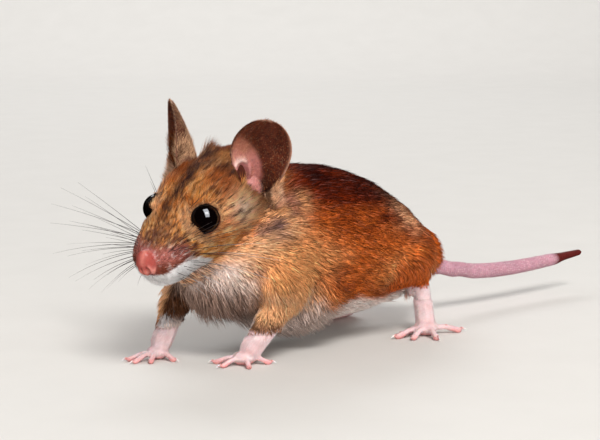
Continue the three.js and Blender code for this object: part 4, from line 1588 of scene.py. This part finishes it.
def whisker_lines():
    """The lines, and a tone for each of their points: dark above, and pale past the root below."""
    chance = np.random.default_rng(7)
    lines, tones = [], []

    def add(start, heading, reach, droop, pale):
        line = whisker(start, heading, reach, droop)
        if line is None:
            return
        lines.append(line)
        share = np.linspace(0, 1, WHISKER_STEPS)
        light = np.clip(pale * soft_step(0.3, 0.8, share) + 0.1 * share, 0, 1)
        tones.append(mix(np.tile(WHISKER_DARK, (WHISKER_STEPS, 1)), LIP_WHITE * 0.5, light))

    for word, side in SIDES.items():
        rows = np.array(WHISKERS[word])
        for row in np.linspace(0, len(rows) - 1, WHISKER_ROWS):
            x, z, ahead, up, reach, droop = [np.interp(row, range(len(rows)), c) for c in rows.T]
            for place in range(WHISKER_PLACES):
                jitter = chance.normal(0, 1, 4) * WHISKER_JITTER
                start = [x + WHISKER_GAP * place + jitter[0], side * WHISKER_ROOT_Y, z + jitter[1]]
                heading = [ahead + WHISKER_FAN * place + jitter[2], side, up + jitter[3]]
                share = (1 - WHISKER_LESS * place) * chance.uniform(0.9, 1)
                pale = soft_step(2.2, 3.4, row + 0.8 * chance.normal() * (row < 3.5))
                add(start, heading, reach * share, droop * share, 0.9 * pale)
        for x, y, z, reach in FACE_HAIRS:
            add([x, side * y, z], [-0.5, 0.7 * side, 0.8 if z > 3 else 0.15], reach, 0.8, 0)
        for place in range(CHIN_HAIRS):
            start = [20.8 - 0.4 * place, side * 2.4, chance.uniform(-2.4, -0.8)]
            heading = [-0.55 + chance.normal(0, 0.12), side * 0.8, -0.75 + chance.normal(0, 0.12)]
            add(start, heading, chance.uniform(5, 7.5 + 0.15 * place), 1.6, 1)
    return np.array(lines), np.array(tones)


def line_mesh(lines, tones):
    count = len(lines)
    first = (np.arange(count)[:, None] * WHISKER_STEPS + np.arange(WHISKER_STEPS - 1)).ravel()
    mesh = bpy.data.meshes.new("whiskers")
    mesh.from_pydata((lines.reshape(-1, 3) * MM).tolist(), np.stack([first, first + 1], 1).tolist(), [])
    paint(mesh, tones.reshape(-1, 3))
    return mesh


# %% Tapered tubes along the lines
def whisker_nodes(material):
    group = bpy.data.node_groups.new("whiskers from lines", "GeometryNodeTree")
    for name, way, kind in (
        ("Lines", "INPUT", "Geometry"), ("Root radius", "INPUT", "Float"), ("Sides", "INPUT", "Int"),
        ("Whiskers", "OUTPUT", "Geometry"),
    ):
        group.interface.new_socket(name, in_out=way, socket_type="NodeSocket" + kind)
    node = {
        key: group.nodes.new(kind)
        for key, kind in {
            "in": "NodeGroupInput", "curve": "GeometryNodeMeshToCurve",
            "along": "GeometryNodeSplineParameter", "taper": "ShaderNodeMapRange",
            "ring": "GeometryNodeCurvePrimitiveCircle", "tube": "GeometryNodeCurveToMesh",
            "real": "GeometryNodeRealizeInstances", "finish": "GeometryNodeSetMaterial",
            "out": "NodeGroupOutput",
        }.items()
    }
    for source, output, target, wanted in (
        ("in", "Lines", "curve", "Mesh"),
        ("along", "Factor", "taper", "Value"),
        ("in", "Root radius", "taper", "To Min"),
        ("taper", "Result", "tube", "Scale"),
        ("in", "Sides", "ring", "Resolution"),
        ("curve", "Curve", "tube", "Curve"),
        ("ring", "Curve", "tube", "Profile Curve"),
        ("tube", "Mesh", "real", "Geometry"),
        ("real", "Geometry", "finish", "Geometry"),
        ("finish", "Geometry", "out", "Whiskers"),
    ):
        group.links.new(node[source].outputs[output], node[target].inputs[wanted])
    node["taper"].inputs["To Max"].default_value = WHISKER_TIP * MM
    node["ring"].inputs["Radius"].default_value = 1
    node["tube"].inputs["Fill Caps"].default_value = True
    node["finish"].inputs["Material"].default_value = material
    return group


def set_input(modifier, name, value):
    for item in modifier.node_group.interface.items_tree:
        if item.item_type == "SOCKET" and item.in_out == "INPUT" and item.name == name:
            modifier[item.identifier] = value


# %% [markdown]
# ## Claws
# Each toe ends in a small curved claw of clear horn, pink at its root where the blood shows
# through. The solids hold the toe tips: they are the points of a foot that lie farthest out.

# %% Claws
CLAW_SIDES, CLAW_RINGS = 8, 7
CLAW_BURIED, CLAW_RISE, CLAW_CURVE = 0.75, 0.24, 0.42  # as shares of its length
CLAW_SIZES = {"fore": (0.95, 0.17), "hind": (1.15, 0.21)}  # length, and radius at the root
TOE_LEVEL, TOE_GAP, TOE_REACH = 1.8, 1.7, 1.3  # highest tip, least gap between two, size of one
TOES = {"forefoot_left": 4, "forefoot_right": 4, "hindfoot_left": 5, "hindfoot_right": 5}


def toe_tips(foot_name):
    """Tip and heading of each toe, from the farthest points of a foot's solid."""
    places = points_of(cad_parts[foot_name].data) / MM
    low = places[places[:, 2] < TOE_LEVEL]
    distance = np.linalg.norm((low - np.median(low, axis=0))[:, :2], axis=1)
    found = []
    for place in low[np.argsort(-distance)]:
        if len(found) < TOES[foot_name] and all(np.linalg.norm(place - tip) > TOE_GAP for tip, _ in found):
            near = places[np.linalg.norm(places - place, axis=1) < TOE_REACH]
            found.append((place, unit((place - near.mean(0)) * [1, 1, 0.2])))
    return found


def claws():
    places, faces, tones = [], [], []
    for foot_name in TOES:
        for tip, heading in toe_tips(foot_name):
            reach, thick = CLAW_SIZES[foot_name[:4]]
            side = unit(np.cross(heading, [0, 0, 1]))
            top = np.cross(side, heading)
            share = np.linspace(0, 1, CLAW_RINGS)
            centre = tip - heading * CLAW_BURIED * reach + np.outer(share * reach, heading)
            centre = centre + np.outer(CLAW_RISE - CLAW_CURVE * share**2, top * reach)
            centre[:, 2] = np.maximum(centre[:, 2], 0.06 + thick * (1 - share))
            angles = np.arange(CLAW_SIDES) / CLAW_SIDES * 2 * math.pi
            radius = thick * (1 - share) ** 0.7 + 0.02
            ring = np.cos(angles)[:, None] * side * 0.75 + np.sin(angles)[:, None] * top
            rings = centre[:, None] + radius[:, None, None] * ring
            start = sum(len(p) for p in places)
            ends = [centre[0] - heading * 0.05, centre[-1] + heading * 0.04]
            places.append(np.concatenate([rings.reshape(-1, 3), ends]))
            faces.append([f + start for f in cover(rings)])
            tone = mix(PAD_PINK * 0.8, LIP_WHITE * 0.9, np.repeat(soft_step(0.1, 0.7, share), CLAW_SIDES))
            tones.append(np.concatenate([tone, tone[:1], tone[-1:]]))
    quads, caps = (np.concatenate(f) for f in zip(*faces))
    mesh = mesh_of("claws", np.concatenate(places) * MM, [quads, caps])
    paint(mesh, np.concatenate(tones))
    return object_of("claws", mesh)


claw_piece = claws()
print("claws:", sum(TOES.values()))

# %% [markdown]
# ## Materials
# Every surface takes its colour from the markings kept in its mesh, and nodes then break it up:
# small changes of tone, of roughness and of height. Hair is dull, the nose is moist, the tail has
# scales, and the eye is wet and nearly black.


# %% Helpers for nodes
def fed(tree, node, **values):
    """Sets or links inputs of a node. In their names here, _ stands for a space."""
    for name, value in values.items():
        socket = node.inputs[name.replace("_", " ")]
        if isinstance(value, bpy.types.NodeSocket):
            tree.links.new(value, socket)
        else:
            socket.default_value = value
    return node


def add_node(tree, kind, **values):
    return fed(tree, tree.nodes.new("ShaderNode" + kind), **values)


def own_space(tree):
    return add_node(tree, "TexCoord").outputs["Object"]


def noise(tree, size, detail=3.0):
    """Random values from 0 to 1 over an object's own space, with features of a size in mm."""
    made = add_node(tree, "TexNoise", Vector=own_space(tree), Scale=1 / (size * MM), Detail=detail)
    return made.outputs["Fac"]


def ranged(tree, value, low, high):
    made = add_node(tree, "MapRange", Value=value, From_Min=0.3, From_Max=0.7, To_Min=low, To_Max=high)
    return made.outputs["Result"]


def two_tones(tree, size, first, second):
    """Colours that drift from one to the other over features of a size in mm."""
    ramp = add_node(tree, "ValToRGB", Fac=noise(tree, size))
    ramp.color_ramp.elements[0].color = (*first, 1)
    ramp.color_ramp.elements[1].color = (*second, 1)
    return ramp.outputs["Color"]


def finished(tree, surface, base, rough_size, rough, height, depth):
    """Gives a surface its colour, its roughness and a bump with a depth in mm."""
    bump = add_node(tree, "Bump", Distance=depth * MM, Height=height)
    roughness = ranged(tree, noise(tree, rough_size), *rough)
    fed(tree, surface, Base_Color=base, Roughness=roughness, Normal=bump.outputs["Normal"])


def new_material(name, **settings):
    made = bpy.data.materials.new(name)
    made.use_nodes = True
    tree = made.node_tree
    return made, tree, fed(tree, tree.nodes["Principled BSDF"], **settings)


# %% Materials
def material(name, tone_size, tones, rough, bump_size, bump_depth, scales=False, **settings):
    """A surface coloured by its markings, with noise in its tone, roughness and height."""
    made, tree, surface = new_material(name, **settings)
    marking = add_node(tree, "Attribute")
    marking.attribute_name = "marking"
    vary = add_node(tree, "VectorMath", Vector=marking.outputs["Color"])
    vary.operation = "SCALE"
    fed(tree, vary, Scale=ranged(tree, noise(tree, tone_size), *tones))
    if scales:
        cells = add_node(tree, "TexVoronoi", Vector=own_space(tree), Scale=1 / (bump_size * MM))
        cells.feature = "DISTANCE_TO_EDGE"
        height = cells.outputs["Distance"]
    else:
        height = noise(tree, bump_size, 4.0)
    finished(tree, surface, vary.outputs["Vector"], tone_size * 0.6, rough, height, bump_depth)
    return made


def flesh_glow(weight, size):
    return {"Subsurface_Weight": weight, "Subsurface_Scale": size * MM}


HAIR = material("hair", 0.9, (0.85, 1.18), (0.55, 0.8), 0.25, 0.02, Specular_IOR_Level=0.1)
BARE = material("bare skin", 0.8, (0.9, 1.06), (0.42, 0.6), 0.35, 0.05, scales=True, **flesh_glow(0.2, 0.6))
NOSE = material("nose", 0.5, (0.88, 1.06), (0.25, 0.42), 0.3, 0.05, scales=True, **flesh_glow(0.15, 0.5))
EAR = material("ear skin", 0.6, (0.8, 1.15), (0.5, 0.68), 0.45, 0.06, **flesh_glow(0.1, 0.4))
TAIL_SKIN = material("tail", 0.9, (0.88, 1.08), (0.45, 0.62), 0.4, 0.07, scales=True, **flesh_glow(0.15, 0.5))
UNDER = material("skin under the coat", 0.7, (0.7, 1.2), (0.7, 0.85), 0.3, 0.1, Specular_IOR_Level=0.1)
HORN = material("claw horn", 0.4, (0.9, 1.05), (0.25, 0.4), 0.3, 0.01, **flesh_glow(0.2, 0.3))
WHISKER = material("whisker", 0.8, (0.85, 1.1), (0.35, 0.5), 0.3, 0.005)

# %% The eye's material
EYE_BLACK, eye_tree, eye_surface = new_material("wet eye", Specular_IOR_Level=0.3)
eye_depth = two_tones(eye_tree, 1.5, (0.0008, 0.0004, 0.0005), (0.0025, 0.001, 0.001))
finished(eye_tree, eye_surface, eye_depth, 1.0, (0.03, 0.06), noise(eye_tree, 0.9), 0.004)
print("materials:", len(bpy.data.materials))


# %% Finish the skin
def skin_map():
    """Rolls the whole skin out, with the head, ears, legs and tail in fields of their own."""
    body = spread(round_body(skin_points)) * [0.5, 0.5]
    head_part = spread(round_head(skin_points)) * [0.5, 0.5] + [0, 0.5]
    leg_part = spread(round_legs(skin_points)) * [0.25, 0.5] + [0.5, 0.5]
    ear_part = np.clip(round_ears(skin_points) * [0.055, 0.36] + [0.875, 0.6], 0.76, 0.99)
    fields = {"head": head_part, "legs": leg_part, "tail": body + [0.5, 0], "ears": ear_part}
    flat = body
    for part, field in fields.items():
        flat = np.where((shares[part] > 0.5)[:, None], field, flat)
    return flat


SKIN_KINDS = (
    (UNDER, even(True)),
    (BARE, np.maximum(bare_leg, shares["feet"]) > 0.5),
    (NOSE, skin_head[:, 0] > 18.5),
    (EAR, shares["ears"] > 0.45),
    (TAIL_SKIN, shares["tail"] > 0.45),
)


def finish_skin():
    """Colour, map and materials, and the change from millimetres to metres."""
    mesh = skin.data
    paint(mesh, skin_tones)
    move_points(mesh, skin_points * MM)
    mesh.materials.clear()
    kind = np.zeros(len(skin_points), np.int32)
    for number, (surface, where) in enumerate(SKIN_KINDS):
        mesh.materials.append(surface)
        kind[where] = number
    corners = read_all(mesh.loops, "vertex_index", 1, np.int32)
    starts = read_all(mesh.polygons, "loop_start", 1, np.int32)
    mesh.polygons.foreach_set("material_index", kind[corners[starts]])
    shade_smooth(mesh)
    lay_map(mesh, skin_map()[corners])
    mesh.update()


finish_skin()
print("skin materials:", [m.name for m in skin.data.materials])
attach(skin, "root")
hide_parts(*FURRED, *FEET, *TAIL, *EARS, "nose")
for piece in HAIR_PIECES:
    piece.data.materials.append(HAIR)
    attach(piece, "root")
claw_piece.data.materials.append(HORN)
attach(claw_piece, "root")

# %% Finish the whiskers
whisker_piece = object_of("whiskers", line_mesh(*whisker_lines()))
tubes = whisker_piece.modifiers.new("tubes", "NODES")
tubes.node_group = whisker_nodes(WHISKER)
set_input(tubes, "Root radius", WHISKER_ROOT * MM)
set_input(tubes, "Sides", WHISKER_SIDES)
plain(whisker_piece)
shade_smooth(whisker_piece.data)
print("whiskers:", len(whisker_piece.data.polygons), "faces")
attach(whisker_piece, "root")
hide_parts(*(f"whisker_{word}_{row}" for word in SIDES for row in range(1, 6)))

# %% [markdown]
# ## Eyes
# A mouse's eye bulges so far that it is almost a bead. Each is a true ball a little smaller than
# the solid's, seated in the lids that the skin was shaped to.


# %% Eyes
def eyeball(word):
    net = bmesh.new()
    bmesh.ops.create_uvsphere(net, u_segments=64, v_segments=40, radius=EYE_RADIUS * MM)
    bmesh.ops.translate(net, verts=net.verts, vec=Vector(eye_centres[word]) * MM)
    mesh = filled("eyeball_" + word, net)
    shade_smooth(mesh)
    return object_of("eyeball_" + word, mesh)


eyeballs = [eyeball(word) for word in SIDES]
print("eyes:", [len(ball.data.polygons) for ball in eyeballs], "faces")
for word, ball in zip(SIDES, eyeballs):
    ball.data.materials.append(EYE_BLACK)
    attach(ball, "root")
    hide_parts("eye_" + word)

# %% [markdown]
# ## Floor and light
# A plain pale floor sweeps up behind the mouse. A large lamp above its left shoulder is the key, a
# low wide one fills the shadows, and one behind draws the outline of the fur. The level is plain: a
# colour renders about as it is written. A tall lamp that only the eyes see puts the window's
# highlight on them, because that highlight is what makes an eye look wet.

# %% Floor
FLOOR_SPAN = 1.5
FLOOR_BACK = 0.55
FLOOR_BEND, FLOOR_STEPS = 0.25, 17


def floor():
    """A sheet that lies flat under the mouse and bends up behind it, away from the camera."""
    along = [-FLOOR_SPAN, FLOOR_BACK]
    up = [0.0, 0.0]
    for angle in np.linspace(0, math.pi / 2, FLOOR_STEPS)[1:]:
        along.append(FLOOR_BACK + FLOOR_BEND * math.sin(angle))
        up.append(FLOOR_BEND * (1 - math.cos(angle)))
    along.append(along[-1])
    up.append(FLOOR_SPAN)
    ahead = np.array([-towards_camera.x, -towards_camera.y, 0]) / math.cos(radians(VIEW_ELEVATION))
    aside = np.array([-ahead[1], ahead[0], 0])
    rows = [ahead * a + np.array([0, 0, u]) for a, u in zip(along, up)]
    places = np.array([row + aside * s for row in rows for s in (FLOOR_SPAN, -FLOOR_SPAN)])
    first = np.arange(len(rows) - 1) * 2
    quads = np.stack([first, first + 1, first + 3, first + 2], 1)
    return object_of("floor", mesh_of("floor", places, [quads]))


def floor_material():
    """Pale matt board, with a trace of tone and grain."""
    made, tree, surface = new_material("pale floor")
    base = two_tones(tree, 12, (0.66, 0.64, 0.61), (0.7, 0.68, 0.65))
    finished(tree, surface, base, 4, (0.82, 0.92), noise(tree, 0.6), 0.02)
    return made


ground = floor()
ground.data.materials.append(floor_material())
ground.visible_glossy = False
print("floor:", len(ground.data.polygons), "faces")


# %% Lights
LAMP_DISTANCE = 0.9
LAMP_AIM = Vector((0, 0, 0.02))


def lamp(name, azimuth, elevation, size, watts, tint):
    light = bpy.data.lights.new(name, "AREA")
    light.shape = "RECTANGLE"
    light.size, light.size_y = size
    light.energy = watts
    light.color = tint
    away = way_out(azimuth, elevation)
    return facing_back(name, light, away * LAMP_DISTANCE + LAMP_AIM, away)


lamp("key", -16, 50, (0.36, 0.3), 6.0, (1.0, 0.98, 0.95))
lamp("rim", 150, 40, (0.6, 0.3), 3.0, (0.95, 0.97, 1.0))
fill = lamp("fill", -34, 3, (0.9, 0.6), 6.5, (1.0, 0.98, 0.96))
fill.visible_glossy = False
catch_light = lamp("catch light", -14, 53, (0.55, 1.2), 40, (0.92, 0.95, 1.0))
catch_light.visible_diffuse = False
seen_by = bpy.data.collections.new("seen by the catch light")
for ball in eyeballs:
    seen_by.objects.link(ball)
catch_light.light_linking.receiver_collection = seen_by
WORLD_LIGHT = 0.42
world = bpy.data.worlds.new("studio")
scene.world = world
world.use_nodes = True
world.node_tree.nodes["Background"].inputs["Color"].default_value = (1, 1, 1, 1)
world.node_tree.nodes["Background"].inputs["Strength"].default_value = WORLD_LIGHT
world.cycles_visibility.glossy = False
scene.view_settings.view_transform = "Standard"
print("lamps:", [light.name for light in bpy.data.lights])
